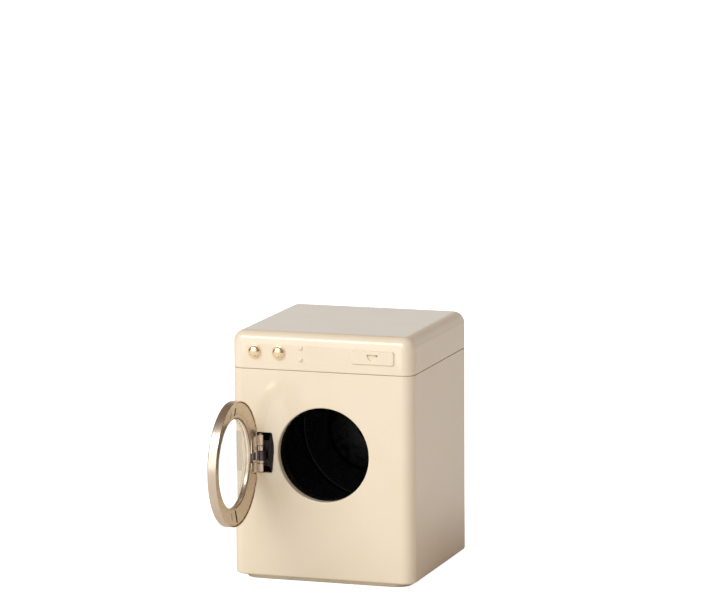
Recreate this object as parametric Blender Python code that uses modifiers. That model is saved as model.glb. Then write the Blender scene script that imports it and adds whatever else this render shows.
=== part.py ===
"""Toy washing machine of pressed tin: a cabinet, a hinged door, a turning drum and two dials.

The foot's underside lies on the plane Z = 0 with the cabinet's middle at the origin. The front faces -Y,
+X is to the right of someone who looks at the front, and +Z is up. Lengths are in metres.
The door stands open at a right angle, swung out on its hinge at the left of the porthole.
"""

import math

import bmesh
import bpy
from mathutils import Matrix, Vector

# Cabinet
cabinet_width = 0.0976
cabinet_depth = 0.0957
cabinet_height = 0.130
corner_radius = 0.0063
sheet = 0.0005
fit_gap = 0.0003
running_gap = 0.00045

# Cabinet wrap
wrap_bottom = 0.0025
bottom_edge_radius = 0.0012
bottom_lip = 0.0009
seam_gap = 0.0004
seam_strip_width = 0.007
seam_strip_proud = 0.0006
seam_strip_place = 0.026
seam_strip_end = 0.003

# Top cap
cap_height = 0.0193
cap_fillet = 0.0061

# Base pan
foot_inset = 0.0034
foot_slope = 0.0008
foot_toe = 0.0005
foot_corner_radius = 0.0090
pan_rim_height = 0.005

# Porthole
porthole_offset = 0.0008
porthole_height = 0.0674
porthole_share = 0.25
porthole_bend = 0.0008
flange_depth = 0.0040

# Drawer panel pressed in the cap
strip_margin = 0.0008
drawer_width = 0.0234
drawer_height = 0.0076
drawer_side_margin = 0.0094
drawer_corner = 0.0010
drawer_proud = 0.0007
press_slope = 0.0003
dent_width = 0.0060
dent_height = 0.0036
dent_drop = 0.0021
dent_depth = 0.0010

# Bumps pressed in the cap
bump_radius = 0.00125
bump_proud = 0.00045
bump_pitch = 0.0060
bump_margin = 0.0002
bump_from_dial = 0.0119

# Dials
dial_radius = 0.0035
dial_skirt = 0.0013
dial_dome = 0.0007
dial_edge = 0.0003
dial_side_margin = 0.0130
dial_pitch = 0.0130
stem_radius = 0.0011
stem_tail = 0.0007
washer_radius = 0.0027
washer_thickness = 0.0004
clip_radius = 0.0022
clip_thickness = 0.0006

# Black moulding behind the front
mould_wall = 0.0012
mould_flange_reach = 0.0065
mould_flange_thickness = 0.0015
collar_wall = 0.0018
pocket_depth = 0.0062
collar_overlap = 0.0012

# Hinge slot in the wrap
slot_to_porthole = 0.0013
slot_bulge = 0.0013
slot_reach_right = 0.00588
slot_reach_left = 0.0024
slot_rise = 0.0011
slot_corner = 0.0007
slot_bulge_rise = 0.0025

# Hinge barrel
barrel_top_rise = 0.00915
barrel_radius = 0.0017
pin_radius = 0.0007
pin_bore_radius = 0.00085
pin_head_radius = 0.0011
pin_head_height = 0.0004
stack_gap = 0.00015
upper_knuckle_length = 0.0053
spacer_length = 0.0029
bracket_length = 0.0047
hinge_washer_length = 0.0014
lower_knuckle_length = 0.0043
spacer_radius = 0.00145
hinge_washer_radius = 0.0018

# Hinge bracket
bracket_sheet = 0.0010
bracket_arm_angle = math.radians(25.0)
bracket_foot_reach = 0.0058
bracket_foot_rise = 0.0043
screw_shank_radius = 0.0006
screw_head_radius = 0.0012
screw_head_height = 0.0006
screw_slot_width = 0.0003
screw_slot_depth = 0.0003

# Door
door_open_angle = math.radians(90.0)
door_gap = 0.0004
door_depth = 0.0048
door_edge_radius = 0.0009
door_band = 0.0094
hinge_to_ring = 0.0044
ring_flat_cut = 0.0029
plate_drop = 0.0003
plate_dish = 0.0014
plate_bend = 0.0005
plate_collar_depth = 0.0034
plate_skirt = 0.0010
pane_thickness = 0.0006
pane_overlap = 0.0036
pane_gap = 0.00015
pane_edge = 0.0001

# Hinge block on the door
block_length = 0.0192
block_reach = 0.0050
block_top = 0.0009
block_thickness = 0.0017
block_corner = 0.0015
neck_start = 0.0010
neck_thickness = 0.0020
wall_window_margin = 0.0002
block_slot_length = 0.0050
leaf_thickness = 0.00035
leaf_depth = 0.0015
leaf_reach = 0.0046
leaf_curl = 0.0006
rivet_radius = 0.0005
rivet_head_radius = 0.0008
rivet_head_height = 0.0003
rivet_inset = 0.0011
rivet_rise = 0.0027

# Drum
drum_side_gap = 0.0097
drum_wall = 0.0012
drum_rear_space = 0.0180
drum_back_thickness = 0.0015
mouth_gap = 0.0004
mouth_thickness = 0.0015
mouth_spigot = 0.0030
mouth_lip = 0.0008
hub_radius = 0.0070
hub_length = 0.0050
back_dish_radius = 0.0240
back_dish_depth = 0.0025
lifter_base = 0.0090
lifter_crest = 0.0036
lifter_height = 0.0060
lifter_margin = 0.0040
lifter_end_slope = 0.0050

# Spindle, its bearing and the rear hand knob
spindle_radius = 0.0025
spindle_bore_gap = 0.00012
spindle_collar_radius = 0.0042
spindle_collar = 0.0016
cap_nut_radius = 0.0048
cap_nut_height = 0.0036
thrust_washer_radius = 0.0050
thrust_washer_thickness = 0.0005
bush_wall = 0.0018
bush_flange_radius = 0.0080
bush_flange_thickness = 0.0014
bush_tail = 0.0032
ring_nut_radius = 0.0075
ring_nut_thickness = 0.0018
knob_radius = 0.0080
knob_height = 0.0070
knob_recess_radius = 0.0034
knob_recess_depth = 0.0022
knob_edge = 0.0009
flute_radius = 0.0012
flute_proud = 0.0004
knob_wall = 0.0020

# Rear clearance hole in the wrap
rear_hole_gap = 0.0003

# Cutters
overrun = 0.002

# Counts and angles
corner_steps = 5
fillet_steps = 5
bend_steps = 3
porthole_steps = 48
ring_steps = 60
small_steps = 16
barrel_steps = 24
screw_steps = 12
dial_steps = 28
drum_steps = 48
knob_steps = 36
flute_count = 12
lifter_count = 3
sharp_angle = math.radians(32.0)
full_turn = 2 * math.pi
to_front = Vector((0.0, -1.0, 0.0))
upwards = Vector((0.0, 0.0, 1.0))

# Shares of the sizes that they follow
bump_step_shares = [(0.82, 0.62), (0.5, 0.92), (0.0, 1.0)]
dome_shares = [(0.0, 1.0), (0.35, 0.93), (0.65, 0.70), (0.88, 0.34)]
cap_nut_shares = [(0.0, 1.0), (0.45, 0.96), (0.8, 0.82), (1.0, 0.56)]

# Places that follow from the sizes above
front = -cabinet_depth / 2
back = cabinet_depth / 2
porthole_radius = porthole_share * cabinet_width
seam = cabinet_height - cap_height
strip_top = cabinet_height - cap_fillet
inner_front = front + sheet + fit_gap
dial_height = strip_top - strip_margin - dial_radius
neck_inset = sheet + fit_gap
neck_height = dial_height - washer_radius - seam - neck_inset - fit_gap
pan_floor = wrap_bottom + sheet + fit_gap
slot_right = porthole_offset - porthole_radius - porthole_bend - slot_to_porthole - slot_bulge
hinge_x = slot_right - slot_reach_right
hinge_reach = porthole_offset - hinge_x
ring_flat = hinge_reach - hinge_to_ring
ring_radius = ring_flat + ring_flat_cut
window_radius = ring_radius - door_band
plate_radius = ring_radius - sheet - fit_gap
plate_flat = ring_flat - sheet - fit_gap
collar_inner = porthole_radius + sheet + fit_gap
collar_outer = collar_inner + collar_wall
pocket_back = inner_front + pocket_depth
mould_back = pocket_back + mould_wall
mouth_front = mould_back + fit_gap / 2 + screw_head_height + running_gap
mouth_back = mouth_front + mouth_thickness
collar_back = mouth_front + collar_overlap
mouth_radius = collar_outer + mouth_gap
drum_radius = cabinet_width / 2 - porthole_offset - drum_side_gap
drum_inner = drum_radius - drum_wall
drum_back = back - drum_rear_space
barrel_top = porthole_height + barrel_top_rise
spacer_top = barrel_top - upper_knuckle_length - stack_gap
bracket_top = spacer_top - spacer_length - stack_gap
hinge_washer_top = bracket_top - bracket_length - stack_gap
lower_knuckle_top = hinge_washer_top - hinge_washer_length - stack_gap
barrel_bottom = lower_knuckle_top - lower_knuckle_length
bracket_middle = bracket_top - bracket_length / 2
spindle_bore = spindle_radius + spindle_bore_gap
bush_radius = spindle_bore + bush_wall
bush_flange_back = back - sheet - fit_gap
bush_back = back + bush_tail
knob_front = bush_back + running_gap
knob_back = knob_front + knob_height
hub_back = drum_back + hub_length
collar_front = hub_back + fit_gap
thrust_front = collar_front + spindle_collar + fit_gap
bush_front = thrust_front + thrust_washer_thickness + fit_gap


def clear_scene():
    """Remove every object that the scene starts with."""
    for obj in list(bpy.data.objects):
        bpy.data.objects.remove(obj, do_unlink=True)


def new_collection(name):
    made = bpy.data.collections.new(name)
    bpy.context.scene.collection.children.link(made)
    return made


def new_material(name, colour, roughness, metallic=0.0, transmission=0.0):
    """A plain Principled finish with the colour, roughness and metallic value of one sub-part."""
    made = bpy.data.materials.new(name)
    made.use_nodes = True
    shader = made.node_tree.nodes["Principled BSDF"]
    shader.inputs["Base Color"].default_value = (*colour, 1.0)
    shader.inputs["Roughness"].default_value = roughness
    shader.inputs["Metallic"].default_value = metallic
    shader.inputs["Transmission Weight"].default_value = transmission
    made.diffuse_color = (*colour, 1.0)
    return made


def enamel(name):
    return new_material(name, (0.86, 0.76, 0.60), 0.28)


def champagne(name):
    return new_material(name, (0.72, 0.58, 0.42), 0.30, 1.0)


def polished_gold(name):
    return new_material(name, (0.86, 0.68, 0.45), 0.16, 1.0)


def black_plastic(name):
    return new_material(name, (0.012, 0.012, 0.013), 0.35)


def bright_steel(name):
    return new_material(name, (0.74, 0.72, 0.71), 0.28, 1.0)


def dark_steel(name):
    return new_material(name, (0.16, 0.14, 0.15), 0.38, 1.0)


def clear_plastic(name):
    return new_material(name, (0.97, 0.98, 0.98), 0.04, 0.0, 1.0)


def new_pivot(name, place, collection):
    """An empty on a joint's axis, which carries the pieces that move together."""
    made = bpy.data.objects.new(name, None)
    made.empty_display_size = barrel_radius
    made.location = place
    collection.objects.link(made)
    return made


def add_piece(name, mesh, material, collection, parent=None):
    """One named piece, smooth on its round faces and sharp at its edges."""
    made = bpy.data.objects.new(name, mesh)
    made.data.materials.append(material)
    mesh.shade_smooth()
    mesh.set_sharp_from_angle(angle=sharp_angle)
    collection.objects.link(made)
    made.parent = parent
    return made


def mesh_from(bm, name):
    """A mesh made from an edited one, with all its faces pointing out."""
    bmesh.ops.recalc_face_normals(bm, faces=bm.faces)
    mesh = bpy.data.meshes.new(name)
    bm.to_mesh(mesh)
    bm.free()
    return mesh


def shell_mesh(bm, name, outward):
    """A mesh made from an open surface, whose farthest face in one direction looks that way."""
    bmesh.ops.recalc_face_normals(bm, faces=bm.faces)
    farthest = max(bm.faces, key=lambda face: face.calc_center_median().dot(outward))
    if farthest.normal.dot(outward) < 0:
        bmesh.ops.reverse_faces(bm, faces=bm.faces)
    mesh = bpy.data.meshes.new(name)
    bm.to_mesh(mesh)
    bm.free()
    return mesh


def solidify(obj, thickness=sheet):
    """Give an open surface the thickness of its sheet, on its inner side."""
    wall = obj.modifiers.new("Sheet thickness", "SOLIDIFY")
    wall.thickness = thickness
    wall.offset = -1.0
    wall.use_even_offset = True
    return wall


def add_cutter(name, mesh, collection, parent=None):
    """A helper that only cuts or joins, drawn as wire and left out of every render."""
    made = bpy.data.objects.new(name, mesh)
    made.hide_render = True
    made.display_type = "WIRE"
    collection.objects.link(made)
    made.parent = parent
    return made


def combine(obj, tool, operation="DIFFERENCE"):
    change = obj.modifiers.new(f"{operation.title()} {tool.name}", "BOOLEAN")
    change.operation = operation
    change.solver = "EXACT"
    change.object = tool
    return change


def box_mesh(name, low, high, edge=0.0, edge_steps=2):
    """A block between two corners, with its upright edges rounded when an edge radius is given."""
    low = Vector(low)
    high = Vector(high)
    bm = bmesh.new()
    bmesh.ops.create_cube(bm, size=1.0)
    size = high - low
    middle = (low + high) / 2
    bmesh.ops.transform(bm, matrix=Matrix.Translation(middle) @ Matrix.Diagonal((*size, 1.0)), verts=bm.verts)
    if edge:
        along_y = [e for e in bm.edges if abs((e.verts[0].co - e.verts[1].co).y) > size.y / 2]
        bmesh.ops.bevel(bm, geom=along_y, offset=edge, segments=edge_steps, profile=0.5, affect="EDGES")
    return mesh_from(bm, name)


def cylinder_mesh(name, radius, low, high, steps, axis="Z", place=(0.0, 0.0)):
    """A plain round bar between two places on its axis."""
    bm = bmesh.new()
    bmesh.ops.create_cone(
        bm, cap_ends=True, segments=steps, radius1=radius, radius2=radius, depth=high - low
    )
    bmesh.ops.translate(bm, vec=(0.0, 0.0, (low + high) / 2), verts=bm.verts)
    if axis == "Y":
        bmesh.ops.rotate(bm, matrix=Matrix.Rotation(-math.pi / 2, 3, "X"), verts=bm.verts)
        bmesh.ops.translate(bm, vec=(place[0], 0.0, place[1]), verts=bm.verts)
    else:
        bmesh.ops.translate(bm, vec=(place[0], place[1], 0.0), verts=bm.verts)
    return mesh_from(bm, name)


def prism_mesh(name, outline, low, high):
    """An upright prism over a plan outline of (x, y) points."""
    bm = bmesh.new()
    bottom = bm.faces.new([bm.verts.new((x, y, low)) for x, y in outline])
    raised = bmesh.ops.extrude_face_region(bm, geom=[bottom])["geom"]
    verts = [item for item in raised if isinstance(item, bmesh.types.BMVert)]
    bmesh.ops.translate(bm, vec=(0.0, 0.0, high - low), verts=verts)
    return mesh_from(bm, name)


def turned_mesh(name, profile):
    """A profile of (radius, height) points, outer side first and downwards, turned round the Z axis."""
    bm = bmesh.new()
    points = [bm.verts.new((radius, 0.0, height)) for radius, height in profile]
    closed = profile[0][0] > 0.0 or profile[-1][0] > 0.0
    pairs = list(zip(points, points[1:]))
    if closed:
        pairs.append((points[-1], points[0]))
    for pair in pairs:
        bm.edges.new(pair)
    mesh = bpy.data.meshes.new(name)
    bm.to_mesh(mesh)
    bm.free()
    return mesh


def turn_profile(obj, steps):
    turn = obj.modifiers.new("Turn", "SCREW")
    turn.axis = "Z"
    turn.steps = steps
    turn.render_steps = steps
    turn.use_merge_vertices = True
    turn.merge_threshold = fit_gap / 100
    turn.use_smooth_shade = True


def add_turned(name, profile, steps, material, collection, parent=None):
    """A turned piece: the mesh holds its profile, and a Screw modifier turns it."""
    made = add_piece(name, turned_mesh(name, profile), material, collection, parent)
    turn_profile(made, steps)
    return made


def add_turned_cutter(name, profile, steps, collection):
    """A turned helper that only cuts."""
    made = add_cutter(name, turned_mesh(name, profile), collection)
    turn_profile(made, steps)
    return made


def lay_back(obj, place_y=0.0):
    """Turn a piece made along Z so that its axis runs along +Y, towards the back."""
    obj.rotation_euler = (-math.pi / 2, 0.0, 0.0)
    obj.location.y = place_y
    return obj


def closed_loop(bm, points):
    """A closed run of edges through the points."""
    verts = [bm.verts.new(point) for point in points]
    return [bm.edges.new(pair) for pair in zip(verts, verts[1:] + verts[:1])]


def rounded_ring(half_x, half_y, radius, height):
    """The points of a level rectangle with rounded corners."""
    points = []
    for turn in range(4):
        sign_x = 1 if turn in (0, 3) else -1
        sign_y = 1 if turn in (0, 1) else -1
        centre = Vector((sign_x * (half_x - radius), sign_y * (half_y - radius), height))
        for step in range(corner_steps + 1):
            angle = (turn + step / corner_steps) * math.pi / 2
            points.append(centre + radius * Vector((math.cos(angle), math.sin(angle), 0.0)))
    return points


def cabinet_ring(inset, height):
    """The cabinet's outline at one height, drawn in by an even inset."""
    return rounded_ring(cabinet_width / 2 - inset, cabinet_depth / 2 - inset, corner_radius - inset, height)


def skin(bm, rings):
    """Draw the first ring of points on through all the others, and give back the last run of edges."""
    edges = closed_loop(bm, rings[0])
    verts = [edge.verts[0] for edge in edges]
    for ring in rings[1:]:
        made = bmesh.ops.extrude_edge_only(bm, edges=edges)["geom"]
        order = {vert: index for index, vert in enumerate(verts)}
        drawn = [item for item in made if isinstance(item, bmesh.types.BMVert)]
        for vert in drawn:
            partner = next(edge.other_vert(vert) for edge in vert.link_edges if edge.other_vert(vert) in order)
            verts[order[partner]] = vert
            vert.co = ring[order[partner]]
        edges = [bm.edges.get(pair) for pair in zip(verts, verts[1:] + verts[:1])]
    return edges


def quarter(radius, steps):
    """Points (across, along) of a quarter round that starts flat and ends upright."""
    for step in range(1, steps):
        angle = step / steps * math.pi / 2
        yield radius * (1 - math.sin(angle)), radius * (1 - math.cos(angle))


def wall_face(bm, place_y):
    """The largest flat face that lies in the plane of the cabinet's front or back."""
    flat = [f for f in bm.faces if all(abs(v.co.y - place_y) < fit_gap / 10 for v in f.verts)]
    return max(flat, key=lambda face: face.calc_area())


def open_face(bm, face, loops, normal):
    """Replace a face by one that has the loops as holes."""
    edges = list(face.edges)
    bmesh.ops.delete(bm, geom=[face], context="FACES_ONLY")
    for loop in loops:
        edges.extend(loop)
    bmesh.ops.triangle_fill(bm, use_beauty=True, edges=edges, normal=normal)


def round_loop(bm, centre, radius, steps):
    """A circle that faces the front, as a closed run of edges."""
    middle = Vector(centre)
    turns = [full_turn * step / steps for step in range(steps)]
    return closed_loop(bm, [middle + radius * Vector((math.cos(a), 0.0, math.sin(a))) for a in turns])


def pressed_on(bm, loop, centre, scale_x, scale_z, depth):
    """Draw a loop on by a depth towards the back, scaled about its centre."""
    made = bmesh.ops.extrude_edge_only(bm, edges=loop)["geom"]
    verts = [item for item in made if isinstance(item, bmesh.types.BMVert)]
    ends = set(verts)
    for vert in verts:
        vert.co.x = centre[0] + (vert.co.x - centre[0]) * scale_x
        vert.co.z = centre[2] + (vert.co.z - centre[2]) * scale_z
        vert.co.y += depth
    edges = {edge for vert in verts for edge in vert.link_edges}
    return [edge for edge in edges if set(edge.verts) <= ends]


def slot_loop(bm):
    """The hinge slot: upright at the left, bulged at the right, with small round corners."""
    left = hinge_x - slot_reach_left
    top = barrel_top + slot_rise
    bottom = barrel_bottom - slot_rise / 2
    bulge_height = porthole_height + slot_bulge_rise
    corner = slot_corner
    right = slot_right
    points = [
        (left, bottom + corner),
        (left + corner, bottom),
        (right - corner, bottom),
        (right, bottom + corner),
        (right + slot_bulge / 2, (bottom + bulge_height) / 2),
        (right + slot_bulge, bulge_height),
        (right + slot_bulge / 2, (top + bulge_height) / 2),
        (right, top - corner),
        (right - corner, top),
        (left + corner, top),
        (left, top - corner),
    ]
    return closed_loop(bm, [Vector((x, front, z)) for x, z in points])


def build_cabinet_wrap(parts, cutters):
    """The bent sheet: front, sides and back, with its turned-in foot edge and the neck for the cap."""
    bm = bmesh.new()
    rings = [cabinet_ring(bottom_edge_radius + bottom_lip, wrap_bottom)]
    rings.append(cabinet_ring(bottom_edge_radius, wrap_bottom))
    for across, along in quarter(bottom_edge_radius, bend_steps):
        rings.append(cabinet_ring(across, wrap_bottom + along))
    rings.append(cabinet_ring(0.0, wrap_bottom + bottom_edge_radius))
    shoulder = seam - seam_gap / 2
    rings.append(cabinet_ring(0.0, shoulder))
    rings.append(cabinet_ring(neck_inset, shoulder))
    rings.append(cabinet_ring(neck_inset, shoulder + neck_height))
    skin(bm, rings)

    centre = (porthole_offset, front, porthole_height)
    mouth = round_loop(bm, centre, porthole_radius + porthole_bend, porthole_steps)
    open_face(bm, wall_face(bm, front), [mouth, slot_loop(bm)], to_front)
    radius = porthole_radius + porthole_bend
    depth = 0.0
    for across, along in quarter(porthole_bend, bend_steps):
        goal = porthole_radius + across
        mouth = pressed_on(bm, mouth, centre, goal / radius, goal / radius, along - depth)
        radius = goal
        depth = along
    scale = porthole_radius / radius
    mouth = pressed_on(bm, mouth, centre, scale, scale, porthole_bend - depth)
    pressed_on(bm, mouth, centre, 1.0, 1.0, flange_depth - porthole_bend)

    rear_centre = (porthole_offset, back, porthole_height)
    rear_hole = round_loop(bm, rear_centre, bush_radius + rear_hole_gap, small_steps)
    open_face(bm, wall_face(bm, back), [rear_hole], -to_front)

    wrap = add_piece("cabinet_wrap", shell_mesh(bm, "cabinet_wrap", to_front), enamel("Cream wrap"), parts)
    solidify(wrap)
    low = (seam_strip_place - seam_strip_width / 2, back - sheet / 2, wrap_bottom + seam_strip_end)
    high = (seam_strip_place + seam_strip_width / 2, back + seam_strip_proud, seam - seam_strip_end)
    strip = add_cutter("lock_seam_strip", box_mesh("lock_seam_strip", low, high), cutters)
    combine(wrap, strip, "UNION")
    return wrap


def drawer_loop(bm, centre):
    """The outline of the pressed drawer panel."""
    points = []
    for turn in range(4):
        sign_x = 1 if turn in (0, 3) else -1
        sign_z = 1 if turn in (0, 1) else -1
        x = centre[0] + sign_x * (drawer_width / 2 - drawer_corner)
        z = centre[2] + sign_z * (drawer_height / 2 - drawer_corner)
        for step in range(bend_steps + 1):
            angle = (turn + step / bend_steps) * math.pi / 2
            points.append((x + drawer_corner * math.cos(angle), front, z + drawer_corner * math.sin(angle)))
    return closed_loop(bm, points)


def dent_loop(bm, place_x, top_z, place_y):
    """The half-moon finger dent: a straight upper edge over a round one."""
    points = []
    for step in range(small_steps // 2 + 1):
        angle = math.pi * (1 + step / (small_steps // 2))
        x = place_x + dent_width / 2 * math.cos(angle)
        z = top_z + dent_height * math.sin(angle)
        points.append((x, place_y, z))
    return closed_loop(bm, points)


def dial_places():
    first = -cabinet_width / 2 + dial_side_margin
    return [("left", first), ("right", first + dial_pitch)]


def press_bumps(bm, loops_and_centres):
    """Draw each bump's circle out and in again to a flat top."""
    for loop, centre in loops_and_centres:
        size = 1.0
        height = 0.0
        for size_share, height_share in bump_step_shares:
            goal = max(size_share, fit_gap / bump_radius / 4)
            rise = height_share * bump_proud
            loop = pressed_on(bm, loop, centre, goal / size, goal / size, height - rise)
            size = goal
            height = rise
        bmesh.ops.edgeloop_fill(bm, edges=loop)


def press_drawer(bm, loop, centre):
    """Draw the drawer panel out of the sheet and sink the finger dent in it."""
    scale_x = (drawer_width / 2 - press_slope) / (drawer_width / 2)
    scale_z = (drawer_height / 2 - press_slope) / (drawer_height / 2)
    top = pressed_on(bm, loop, centre, scale_x, scale_z, -drawer_proud)
    panel = bmesh.ops.edgeloop_fill(bm, edges=top)["faces"][0]
    dent_top = centre[2] + drawer_height / 2 - dent_drop
    dent = dent_loop(bm, centre[0], dent_top, front - drawer_proud)
    open_face(bm, panel, [dent], to_front)
    middle = (centre[0], front, dent_top - dent_height / 2)
    scale = (dent_width / 2 - press_slope) / (dent_width / 2)
    sunk = pressed_on(bm, dent, middle, scale, scale, dent_depth)
    bmesh.ops.edgeloop_fill(bm, edges=sunk)


def build_top_cap(parts):
    """The drawn lid, with its pressed drawer panel and bumps and the two holes for the dials."""
    bm = bmesh.new()
    skirt = seam + seam_gap / 2
    rings = [cabinet_ring(0.0, skirt), cabinet_ring(0.0, strip_top)]
    for step in range(1, fillet_steps + 1):
        angle = step / fillet_steps * math.pi / 2
        inset = cap_fillet * (1 - math.cos(angle))
        rings.append(cabinet_ring(inset, strip_top + cap_fillet * math.sin(angle)))
    bmesh.ops.edgeloop_fill(bm, edges=skin(bm, rings))

    holes = [
        round_loop(bm, (x, front, dial_height), stem_radius + fit_gap, small_steps) for _, x in dial_places()
    ]
    bump_x = dial_places()[-1][1] + bump_from_dial
    bump_top = strip_top - bump_margin - bump_radius
    bumps = []
    for height in (bump_top, bump_top - bump_pitch):
        centre = (bump_x, front, height)
        bumps.append((round_loop(bm, centre, bump_radius, screw_steps), centre))
    drawer_x = cabinet_width / 2 - drawer_side_margin - drawer_width / 2
    drawer_centre = (drawer_x, front, strip_top - strip_margin - drawer_height / 2)
    drawer = drawer_loop(bm, drawer_centre)
    loops = holes + [loop for loop, _ in bumps] + [drawer]
    open_face(bm, wall_face(bm, front), loops, to_front)
    press_bumps(bm, bumps)
    press_drawer(bm, drawer, drawer_centre)
    cap = add_piece("top_cap", shell_mesh(bm, "top_cap", upwards), enamel("Cream cap"), parts)
    solidify(cap)
    return cap


def build_base_pan(parts):
    """The drawn floor: a rim inside the wrap, a level shelf on its foot edge and the foot below."""
    bm = bmesh.new()
    inset = sheet + fit_gap
    foot_x = cabinet_width / 2 - foot_inset
    foot_y = cabinet_depth / 2 - foot_inset
    low_x = foot_x - foot_slope
    low_y = foot_y - foot_slope
    rings = [
        cabinet_ring(inset, pan_floor + pan_rim_height),
        cabinet_ring(inset, pan_floor + bottom_edge_radius),
        cabinet_ring(bottom_edge_radius + sheet, pan_floor),
        rounded_ring(foot_x, foot_y, foot_corner_radius, pan_floor),
        rounded_ring(low_x, low_y, foot_corner_radius - foot_slope, foot_toe),
        rounded_ring(low_x - foot_toe, low_y - foot_toe, foot_corner_radius - foot_slope - foot_toe, 0.0),
    ]
    bmesh.ops.edgeloop_fill(bm, edges=skin(bm, rings))
    pan = add_piece("base_pan", shell_mesh(bm, "base_pan", -upwards), enamel("Cream pan"), parts)
    solidify(pan)
    return pan


def build_front_moulding(parts, cutters):
    """The black moulding pushed over the porthole's flange: a collar and the hinge pocket in one."""
    start = inner_front
    step_in = front + flange_depth + fit_gap
    flange_radius = collar_outer + mould_flange_reach / 2
    profile = [
        (0.0, collar_back),
        (collar_outer, collar_back),
        (collar_outer, start + mould_flange_thickness),
        (flange_radius, start + mould_flange_thickness),
        (flange_radius, start),
        (0.0, start),
    ]
    material = black_plastic("Black moulding")
    mould = add_turned("front_moulding", profile, porthole_steps, material, parts)
    bore_profile = [
        (0.0, collar_back + overrun),
        (porthole_radius, collar_back + overrun),
        (porthole_radius, step_in),
        (collar_inner, step_in),
        (collar_inner, start + porthole_bend),
        (collar_inner + porthole_bend + overrun, start - overrun),
        (0.0, start - overrun),
    ]
    bore = add_turned_cutter("collar_bore", bore_profile, porthole_steps, cutters)
    for piece in (mould, bore):
        lay_back(piece)
        piece.location.x = porthole_offset
        piece.location.z = porthole_height

    left = hinge_x - slot_reach_left - fit_gap
    right = slot_right + slot_bulge
    top = barrel_top + slot_rise + fit_gap
    bottom = barrel_bottom - slot_rise / 2 - fit_gap
    outer_low = (left - mould_wall, start, bottom - mould_wall)
    outer_high = (right + mould_wall, mould_back, top + mould_wall)
    shell = add_cutter("pocket_body", box_mesh("pocket_body", outer_low, outer_high), cutters)
    inner_low = (left, start - overrun, bottom)
    inner_high = (right, pocket_back, top)
    hollow = add_cutter("pocket_hollow", box_mesh("pocket_hollow", inner_low, inner_high), cutters)
    combine(mould, shell, "UNION")
    combine(mould, bore)
    combine(mould, hollow)
    for index, height in enumerate(bracket_screw_heights()):
        hole = cylinder_mesh(
            f"bracket_screw_hole_{index}", screw_shank_radius + fit_gap, pocket_back - overrun,
            mould_back + overrun, screw_steps, "Y", (bracket_screw_x(), height),
        )
        combine(mould, add_cutter(f"bracket_screw_hole_{index}", hole, cutters))
    return mould


def bracket_screw_x():
    return hinge_x + bracket_foot_reach / 2 - bracket_sheet / 2


def bracket_screw_heights():
    """The two screws stand above and below the bracket's arm."""
    lift = bracket_length / 2 + bracket_foot_rise / 2
    return [bracket_middle + lift, bracket_middle - lift]


def bracket_outline(reach):
    """Plan of the loop round the pin and the arm that leaves it slantwise, ending at a reach along Y."""
    tilt = -bracket_arm_angle
    length = (reach + barrel_radius * math.sin(bracket_arm_angle)) / math.cos(bracket_arm_angle)
    inner = barrel_radius - bracket_sheet
    leave = math.acos(inner / barrel_radius)
    points = [(inner, length), (barrel_radius, length)]
    for step in range(barrel_steps + 1):
        angle = (leave - full_turn) * step / barrel_steps
        points.append((barrel_radius * math.cos(angle), barrel_radius * math.sin(angle)))
    turned = [(x * math.cos(tilt) - y * math.sin(tilt), x * math.sin(tilt) + y * math.cos(tilt)) for x, y in points]
    return [(hinge_x + x, front + y) for x, y in turned]


def build_hinge_bracket(parts, cutters):
    """Blackened steel strip: a loop round the pin, an arm into the pocket and a foot on its back wall."""
    low_z = bracket_top - bracket_length
    foot_back = pocket_back - fit_gap
    foot_front = foot_back - bracket_sheet
    outline = bracket_outline(foot_back - bracket_sheet / 2 - front)
    strip = prism_mesh("hinge_bracket", outline, low_z, bracket_top)
    bracket = add_piece("hinge_bracket", strip, dark_steel("Blackened bracket"), parts)
    foot_low = (hinge_x - bracket_sheet, foot_front, low_z - bracket_foot_rise)
    foot_high = (hinge_x + bracket_foot_reach, foot_back, bracket_top + bracket_foot_rise)
    foot = add_cutter("bracket_foot", box_mesh("bracket_foot", foot_low, foot_high), cutters)
    bore = cylinder_mesh(
        "bracket_bore", pin_bore_radius, low_z - overrun, bracket_top + overrun, barrel_steps, "Z",
        (hinge_x, front),
    )
    combine(bracket, foot, "UNION")
    combine(bracket, add_cutter("bracket_bore", bore, cutters))
    for index, height in enumerate(bracket_screw_heights()):
        hole = cylinder_mesh(
            f"bracket_foot_hole_{index}", screw_shank_radius + fit_gap / 2, foot_front - overrun,
            foot_back + fit_gap / 2, screw_steps, "Y", (bracket_screw_x(), height),
        )
        combine(bracket, add_cutter(f"bracket_foot_hole_{index}", hole, cutters))
    return bracket


def screw_profile(head_radius, head_height, shank_radius, shank_length):
    """A pan-headed screw on its own axis, head up, with its head's seat at height zero."""
    return [
        (0.0, head_height),
        (head_radius * 0.7, head_height),
        (head_radius, head_height / 2),
        (head_radius, 0.0),
        (shank_radius, 0.0),
        (shank_radius, -shank_length),
        (0.0, -shank_length),
    ]


def build_bracket_screws(parts, cutters):
    """Two slotted screws, put in from behind through the moulding into the bracket's foot."""
    seat = mould_back + fit_gap / 2
    length = seat - (pocket_back - fit_gap - bracket_sheet)
    for index, height in enumerate(bracket_screw_heights()):
        name = ("upper", "lower")[index] + "_bracket_screw"
        profile = screw_profile(screw_head_radius, screw_head_height, screw_shank_radius, length)
        screw = add_turned(name, profile, screw_steps, bright_steel(f"Steel {name}"), parts)
        screw.rotation_euler = (-math.pi / 2, 0.0, 0.0)
        screw.location = (bracket_screw_x(), seat, height)
        half = screw_slot_width / 2
        low = (-screw_head_radius - overrun, -half, screw_head_height - screw_slot_depth)
        high = (screw_head_radius + overrun, half, screw_head_height + overrun)
        slot = add_cutter(f"{name}_slot", box_mesh(f"{name}_slot", low, high), cutters, screw)
        combine(screw, slot)


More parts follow.
